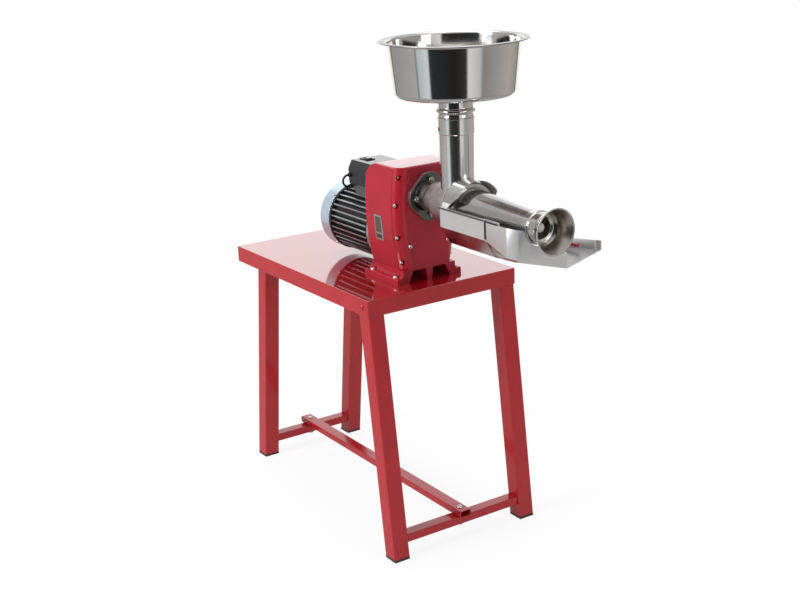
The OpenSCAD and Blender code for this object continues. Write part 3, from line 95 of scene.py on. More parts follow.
def rounded(
    corners: np.ndarray, radius: np.ndarray | float, steps: int = 4, closed: bool = True
) -> np.ndarray:
    """Rounds the corners of a line: each becomes a parabola from one leg to the other.

    Args:
        corners: (n, 2) points.
        radius: reach of each rounding along its legs, at most 0.45 of a leg.
        steps: spans in each rounding.
        closed: whether the last point joins the first.

    Returns:
        The points of the rounded line.
    """
    points = np.asarray(corners, float)
    back = np.roll(points, 1, axis=0) - points
    ahead = np.roll(points, -1, axis=0) - points
    lengths = np.minimum(np.linalg.norm(back, axis=1), np.linalg.norm(ahead, axis=1))
    reach = np.minimum(np.broadcast_to(radius, len(points)), 0.45 * lengths)
    if not closed:
        reach = reach * np.r_[0.0, np.ones(len(points) - 2), 0.0]
    unit_back = back / np.maximum(np.linalg.norm(back, axis=1), 1e-9)[:, None]
    unit_ahead = ahead / np.maximum(np.linalg.norm(ahead, axis=1), 1e-9)[:, None]
    start = points + unit_back * reach[:, None]
    end = points + unit_ahead * reach[:, None]
    t = np.linspace(0, 1, steps + 1)[None, :, None]
    curve = (1 - t) ** 2 * start[:, None] + 2 * t * (1 - t) * points[:, None] + t**2 * end[:, None]
    return curve.reshape(-1, 2)


def inset(outline: np.ndarray, depth: float) -> np.ndarray:
    """Moves a closed counter-clockwise outline inwards.

    Each point goes along the mean of its two edge normals, by depth over the cosine of half the turn.

    Args:
        outline: (n, 2) points.
        depth: how far; negative moves it outwards.

    Returns:
        The moved points.
    """
    edge = np.roll(outline, -1, axis=0) - outline
    edge = edge / np.maximum(np.linalg.norm(edge, axis=1), 1e-9)[:, None]
    normal = np.stack([-edge[:, 1], edge[:, 0]], axis=1)
    mean = normal + np.roll(normal, 1, axis=0)
    mean = mean / np.maximum(np.linalg.norm(mean, axis=1), 1e-6)[:, None]
    cosine = np.maximum(np.sum(mean * normal, axis=1), 0.5)
    return outline + mean * (depth / cosine)[:, None]


def circle(radius: float, count: int, centre: Pair = (0.0, 0.0)) -> np.ndarray:
    """Points of a circle: centre plus radius times the cosine and sine of even angles."""
    angle = np.linspace(0, FULL_TURN, count, endpoint=False)
    return np.stack([centre[0] + radius * np.cos(angle), centre[1] + radius * np.sin(angle)], axis=1)


@dataclass
class Skin:
    """Grids, caps and loops of points that become one mesh."""

    points: list = field(default_factory=list)
    faces: list = field(default_factory=list)
    count: int = 0

    def grid(self, places: np.ndarray, wrap_rows: bool = False, wrap_columns: bool = False) -> "Skin":
        """Adds a grid with a quad between each four neighbours.

        Args:
            places: (rows, columns, 3) points.
            wrap_rows: joins the last row to the first.
            wrap_columns: joins the last column to the first.

        Returns:
            This skin.
        """
        rows, columns = places.shape[:2]
        index = self.count + np.arange(rows * columns).reshape(rows, columns)
        index = np.vstack([index, index[:1]]) if wrap_rows else index
        index = np.hstack([index, index[:, :1]]) if wrap_columns else index
        quads = np.stack([index[:-1, :-1], index[:-1, 1:], index[1:, 1:], index[1:, :-1]], axis=-1)
        self.faces += quads.reshape(-1, 4).tolist()
        self.points.append(places.reshape(-1, 3))
        self.count += rows * columns
        return self

    def cap(self, ring: np.ndarray) -> "Skin":
        """Adds one flat face over a ring of points."""
        self.faces.append(list(range(self.count, self.count + len(ring))))
        self.points.append(ring)
        self.count += len(ring)
        return self

    def turned(
        self,
        profile: np.ndarray,
        axis: Axis,
        centre: Pair,
        segments: int = 96,
        closed: bool = True,
    ) -> "Skin":
        """Adds a profile turned round an axis: radius times cosine and sine of the angle, at its height.

        Args:
            profile: (n, 2) radii and positions along the axis.
            axis: the axis.
            centre: where the axis crosses the plane across it.
            segments: points in a turn.
            closed: whether the profile's end joins its start.

        Returns:
            This skin.
        """
        angle = np.linspace(0, FULL_TURN, segments, endpoint=False)
        radius, along = profile[:, :1], profile[:, 1:]
        places = lay(along, centre[0] + radius * np.cos(angle), centre[1] + radius * np.sin(angle), axis)
        return self.grid(places, wrap_rows=closed, wrap_columns=True)

    def slab(self, outline: np.ndarray, low: float, high: float, axis: Axis, edge: float = 1.0) -> "Skin":
        """Adds an outline carried along an axis, with both rims rounded by quarter circles.

        Args:
            outline: (n, 2) counter-clockwise points across the axis.
            low: where it starts.
            high: where it ends.
            axis: the axis.
            edge: radius of the rims.

        Returns:
            This skin.
        """
        turn = np.linspace(0, math.pi / 2, 4)
        depths = np.r_[edge * (1 - np.sin(turn)), edge * (1 - np.cos(turn))]
        stations = np.r_[low + edge * (1 - np.cos(turn)), high - edge + edge * np.sin(turn)]
        rings = np.stack([inset(outline, depth) for depth in depths])
        places = lay(stations[:, None], rings[..., 0], rings[..., 1], axis)
        return self.grid(places, wrap_columns=True).cap(places[0]).cap(places[-1])

    def tube(self, path: np.ndarray, radius: float, sides: int) -> "Skin":
        """Adds a round rod along a path.

        At each point the section lies across the path's direction, on two vectors made from that
        direction and a fixed side vector.

        Args:
            path: (n, 3) points.
            radius: radius of the rod.
            sides: points in the section.

        Returns:
            This skin.
        """
        ahead = np.gradient(path, axis=0)
        ahead = ahead / np.linalg.norm(ahead, axis=1)[:, None]
        side = np.cross(ahead, np.array([0.02, 1.0, 0.03]))
        side = side / np.linalg.norm(side, axis=1)[:, None]
        other = np.cross(ahead, side)
        angle = np.linspace(0, FULL_TURN, sides, endpoint=False)[None, :, None]
        places = path[:, None] + radius * (np.cos(angle) * side[:, None] + np.sin(angle) * other[:, None])
        return self.grid(places, wrap_columns=True).cap(places[0]).cap(places[-1])

    def add(self, other: "Skin") -> "Skin":
        """Takes over another skin's grids."""
        self.faces += [[corner + self.count for corner in face] for face in other.faces]
        self.points += other.points
        self.count += other.count
        return self

    def build(self, name: str) -> Piece:
        """Makes the object: doubles merged, normals outward, edges over 32 degrees kept sharp.

        Args:
            name: its name.

        Returns:
            The object, at the origin, linked to the scene.
        """
        places = (np.concatenate([p.reshape(-1, 3) for p in self.points]) + SHIFT) * MM
        mesh = bpy.data.meshes.new(name)
        mesh.from_pydata(places.tolist(), [], self.faces)
        return finished(mesh, name, 32.0)


def finished(
    mesh: bpy.types.Mesh, name: str, sharp: float, outward: bool = True, flat: float = 0.0
) -> Piece:
    """Merges a mesh's doubles, sets its shading and links it as an object.

    Args:
        mesh: the mesh.
        name: the object's name.
        sharp: edges over this angle in degrees stay sharp.
        outward: whether normals are worked out again.
        flat: triangles within this angle in degrees of each other become one face; 0 leaves them.

    Returns:
        The object.
    """
    work = bmesh.new()
    work.from_mesh(mesh)
    bmesh.ops.remove_doubles(work, verts=work.verts, dist=2e-6)
    bmesh.ops.dissolve_degenerate(work, edges=work.edges, dist=1e-7)
    if flat > 0:
        bmesh.ops.dissolve_limit(work, angle_limit=math.radians(flat), verts=work.verts, edges=work.edges)
    if outward:
        bmesh.ops.recalc_face_normals(work, faces=work.faces)
    work.to_mesh(mesh)
    work.free()
    mesh.polygons.foreach_set("use_smooth", np.ones(len(mesh.polygons), bool))
    mesh.set_sharp_from_angle(angle=math.radians(sharp))
    piece = bpy.data.objects.new(name, mesh)
    bpy.context.scene.collection.objects.link(piece)
    even = piece.modifiers.new("even_normals", "WEIGHTED_NORMAL")
    even.keep_sharp = True
    return piece


def from_solid(node: str, bevel: float = 0.6, sharp: float = 28.0, flat: float = 0.0) -> Piece:
    """Copies a CAD node's mesh, merges its loose triangles and rounds its edges.

    Args:
        node: the CAD node.
        bevel: width of the rounding in mm; 0 leaves the edges.
        sharp: edges over this angle in degrees are rounded and stay sharp.
        flat: triangles within this angle in degrees of each other become one face; 0 leaves them.

    Returns:
        The copy.
    """
    piece = finished(frame["nodes"][node].data.copy(), node + "_skin", sharp, False, flat)
    if bevel > 0:
        soften = piece.modifiers.new("soft_edges", "BEVEL")
        soften.width = bevel * MM
        soften.segments = 2
        soften.limit_method = "ANGLE"
        soften.angle_limit = math.radians(sharp)
        soften.use_clamp_overlap = True
        piece.modifiers.move(1, 0)
    return piece


# Colours and node trees


def linear(code: str) -> tuple[float, float, float, float]:
    """Turns an sRGB hex colour such as "B4202A" into linear red, green, blue and alpha."""
    value = np.array([int(code[i : i + 2], 16) for i in (0, 2, 4)]) / 255
    value = np.where(value <= 0.04045, value / 12.92, ((value + 0.055) / 1.055) ** 2.4)
    return (*value.tolist(), 1.0)


def node(
    tree: Tree,
    kind: str,
    settings: dict | None = None,
    links: dict | None = None,
) -> bpy.types.Node:
    """Adds a shader node.

    Args:
        tree: the node tree.
        kind: the node's type name without "ShaderNode".
        settings: attribute names, or input names or numbers, with their values.
        links: input names or numbers with what feeds them: a socket, or a node for its first output.

    Returns:
        The node.
    """
    made = tree.nodes.new("ShaderNode" + kind)
    for key, value in (settings or {}).items():
        if isinstance(key, str) and hasattr(made, key):
            setattr(made, key, value)
        else:
            made.inputs[key].default_value = value
    for key, source in (links or {}).items():
        feed = source.outputs[0] if isinstance(source, bpy.types.Node) else source
        tree.links.new(feed, made.inputs[key])
    return made


class Grain(Enum):
    """How a surface's fine pattern runs."""

    EVEN = "even"
    SPUN_Z = "spun_z"
    SPUN_X = "spun_x"
    ROLLED_X = "rolled_x"
    ROLLED_Z = "rolled_z"


@dataclass(frozen=True)
class Finish:
    """A material: its base colours, gloss and the fine pattern of its surface."""

    name: str
    light: str
    dark: str
    roughness: float
    metallic: float = 0.0
    coat: float = 0.0
    coat_roughness: float = 0.05
    grain_mm: float = 1.0
    grain: Grain = Grain.EVEN
    bump: float = 0.1
    cloud_mm: float = 60.0
    rough_swing: float = 0.05
    specular: float = 0.5
    coat_ior: float = 1.5

    def place(self, tree: Tree) -> Socket:
        """The coordinates that the fine pattern is read from, in metres.

        A spun surface reads its distance from the axis and its place along it, so its marks are
        rings. A rolled one is stretched along X or Z.

        Args:
            tree: the node tree.

        Returns:
            A vector socket.
        """
        spot = node(tree, "TexCoord").outputs["Object"]
        if self.grain is Grain.EVEN:
            return spot
        if self.grain in (Grain.ROLLED_X, Grain.ROLLED_Z):
            long, across = 0.02, 1.0
            scale = (long, across, across) if self.grain is Grain.ROLLED_X else (across, across, long)
            stretch = node(tree, "Mapping", {"Scale": scale}, {"Vector": spot})
            return stretch.outputs["Vector"]
        if self.grain is Grain.SPUN_Z:
            centre, keep, along = ((FEED_X + SHIFT[0]) * MM, 0.0, 0.0), (1.0, 1.0, 0.0), (0.0, 0.0, 1.0)
        else:
            centre, keep, along = (0.0, 0.0, SHAFT_Z * MM), (0.0, 1.0, 1.0), (1.0, 0.0, 0.0)
        from_axis = node(tree, "VectorMath", {"operation": "SUBTRACT", 1: centre}, {0: spot})
        flat = node(tree, "VectorMath", {"operation": "MULTIPLY", 1: keep}, {0: from_axis})
        radius = node(tree, "VectorMath", {"operation": "LENGTH"}, {0: flat})
        height = node(tree, "VectorMath", {"operation": "DOT_PRODUCT", 1: along}, {0: spot})
        pair = node(tree, "CombineXYZ", {}, {"X": radius.outputs["Value"], "Y": height.outputs["Value"]})
        return pair.outputs[0]

    def holes(self, tree: Tree) -> Socket | None:
        """Where the surface is pierced, as 1 on a hole and 0 beside it; a plain finish has none."""
        return None

    def material(self) -> bpy.types.Material:
        """Builds the material.

        Returns:
            A principled surface whose colour drifts between light and dark in clouds, and whose
            roughness and height follow the fine pattern.
        """
        made = bpy.data.materials.new(self.name)
        tree = blank_tree(made)
        spot = node(tree, "TexCoord").outputs["Object"]
        cloud = node(tree, "TexNoise", {"Scale": 1 / (self.cloud_mm * MM), "Detail": 3.0}, {"Vector": spot})
        fine = node(
            tree, "TexNoise", {"Scale": 1 / (self.grain_mm * MM), "Detail": 4.0}, {"Vector": self.place(tree)}
        )
        colours = {"data_type": "RGBA", "clamp_factor": True, 6: linear(self.light), 7: linear(self.dark)}
        mix = node(tree, "Mix", colours, {0: cloud.outputs["Fac"]})
        smooth, rough = max(self.roughness - self.rough_swing, 0.01), self.roughness + self.rough_swing
        swing = node(tree, "MapRange", {"To Min": smooth, "To Max": rough}, {"Value": fine.outputs["Fac"]})
        colour, height = mix.outputs[2], fine.outputs["Fac"]
        pierced = self.holes(tree)
        if pierced is not None:
            # Holes are painted, not cut: a near-black colour for the shade seen through them, and a sunk bump
            hollow = node(tree, "Mix", {"data_type": "RGBA", 7: linear("161616")}, {0: pierced, 6: colour})
            sunk = node(tree, "Math", {"operation": "MULTIPLY_ADD", 1: -6.0}, {0: pierced, 2: height})
            colour, height = hollow.outputs[2], sunk.outputs[0]
        bump = node(tree, "Bump", {"Strength": self.bump, "Distance": 0.1 * MM}, {"Height": height})
        shader = node(
            tree,
            "BsdfPrincipled",
            {
                "Metallic": self.metallic,
                "Coat Weight": self.coat,
                "Coat Roughness": self.coat_roughness,
                "Coat IOR": self.coat_ior,
                "Specular IOR Level": self.specular,
            },
            {"Base Color": colour, "Roughness": swing, "Normal": bump},
        )
        node(tree, "OutputMaterial", {}, {"Surface": shader})
        return made


@dataclass(frozen=True)
class SieveFinish(Finish):
    """Stainless sheet with staggered round holes round the shaft, painted on as dark dots of shade.

    The real holes are about 1 mm wide and 2 mm apart; here they are a little coarser, so they show.
    """

    around: int = 96
    pitch_mm: float = 4.1
    hole_share: float = 0.27
    start: float = 0.272
    end: float = 0.462

    def holes(self, tree: Tree) -> Socket | None:
        """Two square lattices of dots, one shifted by half a cell, in turns round the shaft and X."""
        spot = node(tree, "SeparateXYZ", {}, {0: node(tree, "TexCoord").outputs["Object"]})
        height = node(tree, "Math", {"operation": "SUBTRACT", 1: SHAFT_Z * MM}, {0: spot.outputs["Z"]})
        angle = node(tree, "Math", {"operation": "ARCTAN2"}, {0: height, 1: spot.outputs["Y"]})
        column = node(tree, "Math", {"operation": "MULTIPLY", 1: self.around / FULL_TURN}, {0: angle})
        row = node(tree, "Math", {"operation": "DIVIDE", 1: self.pitch_mm * MM}, {0: spot.outputs["X"]})
        cell = node(tree, "CombineXYZ", {}, {0: column, 1: row})
        dots = []
        for shift in (0.0, 0.5):
            moved = node(tree, "VectorMath", {"operation": "ADD", 1: (shift, shift, 0.0)}, {0: cell})
            inside = node(tree, "VectorMath", {"operation": "FRACTION"}, {0: moved})
            middle = node(tree, "VectorMath", {"operation": "SUBTRACT", 1: (0.5, 0.5, 0.0)}, {0: inside})
            square = node(tree, "VectorMath", {"operation": "MULTIPLY", 1: (1.0, 1.7, 0.0)}, {0: middle})
            reach = node(tree, "VectorMath", {"operation": "LENGTH"}, {0: square})
            near = {"operation": "LESS_THAN", 1: self.hole_share}
            dots.append(node(tree, "Math", near, {0: reach.outputs["Value"]}))
        both = node(tree, "Math", {"operation": "MAXIMUM"}, {0: dots[0], 1: dots[1]})
        after = node(tree, "Math", {"operation": "GREATER_THAN", 1: self.start}, {0: spot.outputs["X"]})
        before = node(tree, "Math", {"operation": "LESS_THAN", 1: self.end}, {0: spot.outputs["X"]})
        span = node(tree, "Math", {"operation": "MULTIPLY"}, {0: after, 1: before})
        return node(tree, "Math", {"operation": "MULTIPLY"}, {0: both, 1: span}).outputs[0]


class Finishes:
    """Every finish of the machine, made once."""

    def __init__(self) -> None:
        """Builds the materials by the names of the record's slots."""
        spun_z, spun_x, rolled_x, rolled_z = Grain.SPUN_Z, Grain.SPUN_X, Grain.ROLLED_X, Grain.ROLLED_Z
        table = (
            # Polyester powder coat on sheet steel: even gloss with a faint orange peel
            Finish(
                "table_paint", "B01620", "9E1119", 0.22, coat=0.3, coat_roughness=0.06, grain_mm=5, bump=0.05,
            ),
            # The same coat on the table's top, its coat boosted to a mirror: a painted sheen
            Finish(
                "table_painted_sheen", "A0121A", "920E16", 0.12, coat=1.0, coat_roughness=0.015, coat_ior=2.4,
                grain_mm=9, bump=0.015,
            ),
            # Copy of the case's enamel for its top, its coat boosted: a painted sheen that brightens the top
            # over its sides
            Finish(
                "case_painted_sheen", "A8142A", "8F0E20", 0.2, coat=1.0, coat_roughness=0.05, grain_mm=5, bump=0.04,
                coat_ior=2.6,
            ),
            # Enamel on a sanded iron casting: deeper crimson, softer gloss
            Finish(
                "case_paint", "AE142B", "940E20", 0.34, coat=0.35, coat_roughness=0.1, specular=0.3,
                grain_mm=3, bump=0.1,
            ),
            # Spun and polished stainless steel: fine rings
            Finish("stainless", "D2D0CD", "C4C2BF", 0.09, 1.0, grain_mm=0.9, grain=spun_z, bump=0.1),
            # Rolled and welded stainless tube, brushed along its length
            Finish("stainless_tube", "DEDCD8", "C8C6C2", 0.2, 1.0, grain_mm=1.4, grain=rolled_z, bump=0.16),
            # The hood's sheet: bent by hand, bright with an uneven polish
            Finish("stainless_hood", "DAD8D5", "B8B6B2", 0.16, 1.0, grain_mm=14, bump=0.5, cloud_mm=25),
            # Sheet edges and the hood's inside: a lighter, less metallic copy of the sheet, painted light
            Finish("sheet_painted_light", "DCDBD8", "CCCAC6", 0.5, 0.35, grain_mm=1.2, grain=rolled_x, bump=0.12),
            # The chute's floor and the top of the hopper's rim: the same sheet, darker and duller
            Finish("sheet_floor", "B4B4B4", "A4A4A5", 0.34, 1.0, grain_mm=1.2, grain=rolled_x, bump=0.12),
            # The gaps between the motor's fins: painted shade, near black
            Finish("fin_gap_painted_shade", "1C1D20", "121315", 0.5, grain_mm=1.5, bump=0.2),
            # Brushed stainless sheet, rolled along the shaft
            Finish("stainless_sheet", "EAE9E8", "DAD9D8", 0.4, 0.88, grain_mm=1.2, grain=rolled_x, bump=0.12),
            # Stainless turned round the shaft
            Finish("stainless_turned", "D6D4CE", "BEBBB5", 0.15, 1.0, grain_mm=1.0, grain=spun_x, bump=0.12),
            # The cone's pierced stainless sheet
            SieveFinish("stainless_sieve", "E6E4E0", "C6C4C0", 0.09, 1.0, grain=spun_x, bump=0.14),
            # The bell's inside, brownish
            Finish("stainless_tinted", "C0B7AC", "A49C92", 0.3, 1.0, grain_mm=1.0, grain=spun_x, bump=0.12),
            # The flange's face, turned and left bare, darkened: a painted dark reflection
            Finish("turned_painted_dark", "7C807C", "4E524F", 0.12, 1.0, grain_mm=0.8, grain=spun_x, bump=0.2),
            # Blasted aluminium casting: even matt grain
            Finish("satin_cast", "BDB2AF", "8E8581", 0.38, 1.0, grain_mm=1.6, bump=0.5, cloud_mm=14),
            # Tinned iron: bright with a slightly uneven coat
            Finish("tinned", "CFCFCD", "B4B4B2", 0.22, 1.0, grain_mm=4, bump=0.2, cloud_mm=15),
            # Zinc-plated sheet with a bluish passivation
            Finish("zinc", "D8E8F2", "C2D6E8", 0.2, 0.68, grain_mm=2, bump=0.1, cloud_mm=30),
            # Bright zinc-plated steel of fasteners
            Finish("bright_steel", "DAD6CC", "BDB9AF", 0.2, 1.0, grain_mm=0.8, bump=0.1, cloud_mm=8),
            # Hobbed and turned steel with a film of oil
            Finish("gear_steel", "8E8C88", "6E6C69", 0.33, 1.0, grain_mm=0.7, grain=spun_x, bump=0.2),
            # Die-cast aluminium with its casting skin
            Finish("motor_grey", "DCDEDF", "BDBFC2", 0.27, 1.0, grain_mm=1.5, bump=0.3, cloud_mm=20),
            # Stacked electrical sheet
            Finish("lamination", "5C5C5E", "3E3E40", 0.5, 0.9, grain_mm=0.6, grain=rolled_x, bump=0.3),
            # Enamelled copper wire
            Finish("copper", "B5622F", "8A4520", 0.3, 1.0, grain_mm=1.2, grain=spun_x, bump=0.6),
            # Moulded black polyamide with a fine spark-eroded skin
            Finish("black_plastic", "2A2B2E", "1E1F21", 0.45, grain_mm=0.8, bump=0.25),
            # Polished black ABS
            Finish("gloss_black", "17181A", "101113", 0.12, coat=0.5, grain_mm=3, bump=0.04),
            # Food-grade white acetal
            Finish("white_plastic", "E4E1D6", "D6D2C4", 0.35, grain_mm=1.2, bump=0.08),
            # Vulcanised rubber
            Finish("black_rubber", "1C1C1D", "141415", 0.62, grain_mm=0.7, bump=0.3),
            # Dipped red vinyl cap
            Finish("red_plastic", "B3122C", "980C22", 0.3, coat=0.3, grain_mm=1.5, bump=0.08),
        )
        self.made = {finish.name: finish.material() for finish in table}

    def dress(self, piece: Piece, name: str) -> Piece:
        """Gives a piece one finish.

        Args:
            piece: the piece.
            name: the finish's name.

        Returns:
            The piece.
        """
        piece.data.materials.clear()
        piece.data.materials.append(self.made[name])
        return piece


# Finishes that share a slot of the record with another one
STAINLESS_KINDS = ("tube", "sheet", "turned", "tinted", "sieve", "hood")
SLOT_OF_FINISH = {"stainless_" + kind: "stainless" for kind in STAINLESS_KINDS}
SLOT_OF_FINISH |= {"sheet_floor": "stainless", "sheet_painted_light": "stainless", "fin_gap_painted_shade": "motor_grey"}
SLOT_OF_FINISH |= {"table_painted_sheen": "table_paint", "case_painted_sheen": "case_paint"}
BODIES = frame["record"]["behaviour"]["bodies"]
BODY_OF_NODE = {name: body for body, names in BODIES.items() for name in names}


def of_faces(piece: Piece, name: str) -> np.ndarray:
    """Reads "normal" or "center" of every face of a piece, as (n, 3) in the frame."""
    values = np.zeros(3 * len(piece.data.polygons))
    piece.data.polygons.foreach_get(name, values)
    return values.reshape(-1, 3)


@dataclass
class SubAssembly:
    """A group of pieces that share the finishes and report their making."""

    finishes: Finishes

    def fit(self, piece: Piece, finish: str, *nodes: str) -> Piece:
        """Dresses a piece, rides it on the nodes' body and lets it stand for them.

        Args:
            piece: the new piece.
            finish: its finish.
            nodes: the CAD nodes it stands for.

        Returns:
            The piece.
        """
        self.finishes.dress(piece, finish)
        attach(piece, BODY_OF_NODE[nodes[0]])
        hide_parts(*nodes)
        LOG.info("%s: %s for %s", type(self).__name__, piece.name, ", ".join(nodes))
        return piece

    def part_finish(self, piece: Piece, finish: str, low: Triple, high: Triple, facing: Triple) -> None:
        """Gives another finish to the faces within a box that look one way.

        Args:
            piece: the piece.
            finish: the finish.
            low: lowest corner of the box in millimetres.
            high: its highest corner.
            facing: the direction; a face looks that way if its normal is within 32 degrees of it.
        """
        piece.data.materials.append(self.finishes.made[finish])
        faces = piece.data.polygons
        slots = np.zeros(len(faces), np.int32)
        faces.foreach_get("material_index", slots)
        centres = of_faces(piece, "center") / MM - SHIFT
        inside = np.all((centres >= low) & (centres <= high), axis=1)
        looks = of_faces(piece, "normal") @ np.array(facing, float) > 0.85
        faces.foreach_set("material_index", np.where(inside & looks, len(piece.data.materials) - 1, slots))

    def keep(
        self, name: str, finish: str, bevel: float = 0.5, sharp: float = 28.0, flat: float = 0.0
    ) -> Piece:
        """Lets a merged and softened copy of a CAD node stand for it.

        Args:
            name: the CAD node.
            finish: its finish.
            bevel: width of the softened edges in mm.
            sharp: edges over this angle in degrees are softened.
            flat: triangles within this angle in degrees of each other become one face.

        Returns:
            The copy.
        """
        return self.fit(from_solid(name, bevel, sharp, flat), finish, name)


def rectangle(length: float, width: float, centre: Pair = (0.0, 0.0)) -> np.ndarray:
    """Corners of a rectangle, counter-clockwise."""
    half = np.array([length, width]) / 2
    return np.array([[-1, -1], [1, -1], [1, 1], [-1, 1]]) * half + np.array(centre)


def headed_screw(shank_l: float) -> np.ndarray:
    """Profile of a domed M8 screw whose head stands on 0.

    The dome follows a quarter of an ellipse from the rim to the crown, with a small dimple where
    the driver goes in.

    Args:
        shank_l: length of the shank below 0.

    Returns:
        (n, 2) radii and heights from the tip round to the crown.
    """
    shank_r, head_r, head_h, recess = 4.0, 7.0, 4.4, 1.6
    t = np.linspace(0.12, 1, 7) * math.pi / 2
    dome = np.stack([head_r * np.cos(t), head_h * np.sin(t)], axis=1)
    low = np.array([[0, -shank_l], [shank_r - 0.6, -shank_l], [shank_r, -shank_l + 0.8], [shank_r, 0]])
    rim = np.array([[head_r - 0.3, 0], [head_r, 0.3]])
    dome = dome[dome[:, 0] > head_r * 0.3]
    floor = head_h - recess
    pit = np.array([[head_r * 0.26, dome[-1, 1]], [head_r * 0.2, floor], [0, floor]])
    return np.vstack([low, rim, dome, pit])


@dataclass
class TableFrame(SubAssembly):
    """The red table: folded top, splayed legs, stretchers, caps and screws."""

    length: float = 615.0
    width: float = 400.0
    height: float = 600.0
    skirt: float = 38.0
    sheet: float = 2.0
    leg: float = 40.0
    front_splay: float = 68.0
    rear_splay: float = 83.0
    rear_inset: float = 13.0
    front_y: float = 197.4
    rear_y: float = 149.0
    cap: float = 5.0
    stretcher_z: float = 45.0
    beam_z: float = 63.0
    beam_h: float = 16.0

    def leg_middle(self, side: int, z: float) -> float:
        """X of a leg's middle at a height."""
        return float(self.leg_face(side, np.array(z))) - side * self.leg / 2

    def leg_face(self, side: int, z: np.ndarray) -> np.ndarray:
        """X of a leg's outer face: a straight line that leans outwards towards the floor."""
        top = self.height - self.sheet
        drop = (top - z) / top
        front_inset = self.sheet + 0.6 + self.front_splay * (self.skirt - self.sheet) / top
        if side > 0:
            return self.length / 2 - front_inset + self.front_splay * drop
        return -(self.length / 2 - self.rear_inset) - self.rear_splay * drop

    def top(self) -> None:
        """Folded pan: one section carried round a rounded rectangle.

        Its rows go from the inside of the sheet, down and round the skirt's lower edge, up the
        outside and over a rounded shoulder onto the flat.
        """
        plan = rounded(rectangle(self.length, self.width), 4.0, 6)
        edge, hem = 2.2, self.height - self.skirt
        t = np.linspace(0, math.pi / 2, 6)
        inner = np.array([[self.sheet, self.height - self.sheet], [self.sheet, hem + 0.4]])
        fold = np.array([[1.4, hem], [0.4, hem], [0, hem + 0.5]])
        shoulder = np.stack([edge * (1 - np.cos(t)), self.height - edge + edge * np.sin(t)], axis=1)
        rows = np.vstack([inner, fold, shoulder])
        rings = np.stack([lay(z, *inset(plan, depth).T, Axis.Z) for depth, z in rows])
        skin = Skin().grid(rings, wrap_columns=True).cap(rings[0]).cap(rings[-1])
        pan = self.fit(skin.build("table_top_skin"), "table_paint", "table_top")
        low, high = (-400, -300, self.height - 0.5), (400, 300, self.height + 1)
        # Painted sheen: the top's up-facing faces get a copy of the paint with a boosted coat
        self.part_finish(pan, "table_painted_sheen", low, high, (0, 0, 1))

    def leaning(self, side: int, y_mid: float, low: float, high: float, grow: float, corner: float) -> Skin:
        """Square post between two heights whose middle follows the leg's lean."""
        plan = rounded(rectangle(self.leg + 2 * grow, self.leg + 2 * grow), corner, 4)
        heights = np.array([low, low + 0.8, high - 0.8, high])
        depth = np.array([0.8, 0.0, 0.0, 0.8])
        middle = self.leg_face(side, heights) - side * self.leg / 2
        rows = zip(heights, depth, middle)
        rings = np.stack([lay(z, *(inset(plan, d) + [x, y_mid]).T, Axis.Z) for z, d, x in rows])
        return Skin().grid(rings, wrap_columns=True).cap(rings[0]).cap(rings[-1])

    def legs(self) -> None:
        """Four square tubes and their black caps."""
        for side, end, reach in ((1, "front", self.front_y), (-1, "rear", self.rear_y)):
            for flank, sign in (("near", -1), ("far", 1)):
                y_mid = sign * (reach - self.leg / 2)
                post = self.leaning(side, y_mid, self.cap, self.height - self.sheet, 0.0, 3.0)
                self.fit(post.build(f"{end}_{flank}_leg_skin"), "table_paint", f"{end}_{flank}_leg")
                foot = self.leaning(side, y_mid, 0.0, self.cap, 0.5, 3.4)
                self.fit(foot.build(f"{end}_{flank}_cap_skin"), "black_plastic", f"{end}_{flank}_cap")

    def bar(self, width: float, height: float, centre: Pair, ends: Pair, axis: Axis) -> Skin:
        """Hollow bar with open ends: outer and inner rounded rectangles joined at both ends."""
        outer = rounded(rectangle(width, height, centre), 2.5, 4)
        inner = inset(outer, 1.5)
        low, high = ends
        rows = [(outer, low + 0.3), (outer, high - 0.3), (inset(outer, 0.3), high), (inner, high)]
        rows += [(inner, low), (inset(outer, 0.3), low)]
        rings = np.stack([lay(place, *ring.T, axis) for ring, place in rows])
        return Skin().grid(rings, wrap_rows=True, wrap_columns=True)

    def stretchers(self) -> None:
        """Two cross bars, the long bar that lies on them and the folded rail of the rear legs."""
        for side, name, reach in ((1, "front_stretcher", self.front_y), (-1, "rear_stretcher", self.rear_y)):
            half = reach - self.leg - 0.1
            centre = (self.leg_middle(side, self.stretcher_z), self.stretcher_z)
            cross = self.bar(30, 20, centre, (-half, half), Axis.Y)
            self.fit(cross.build(name + "_skin"), "table_paint", name)
        past_leg = 23
        ends = tuple(self.leg_middle(side, self.stretcher_z) + side * past_leg for side in (-1, 1))
        beam = self.bar(30, self.beam_h, (0, self.beam_z), ends, Axis.X)
        self.fit(beam.build("long_stretcher_skin"), "table_paint", "long_stretcher")
        self.keep("rear_cross_rail", "table_paint", 0.6)

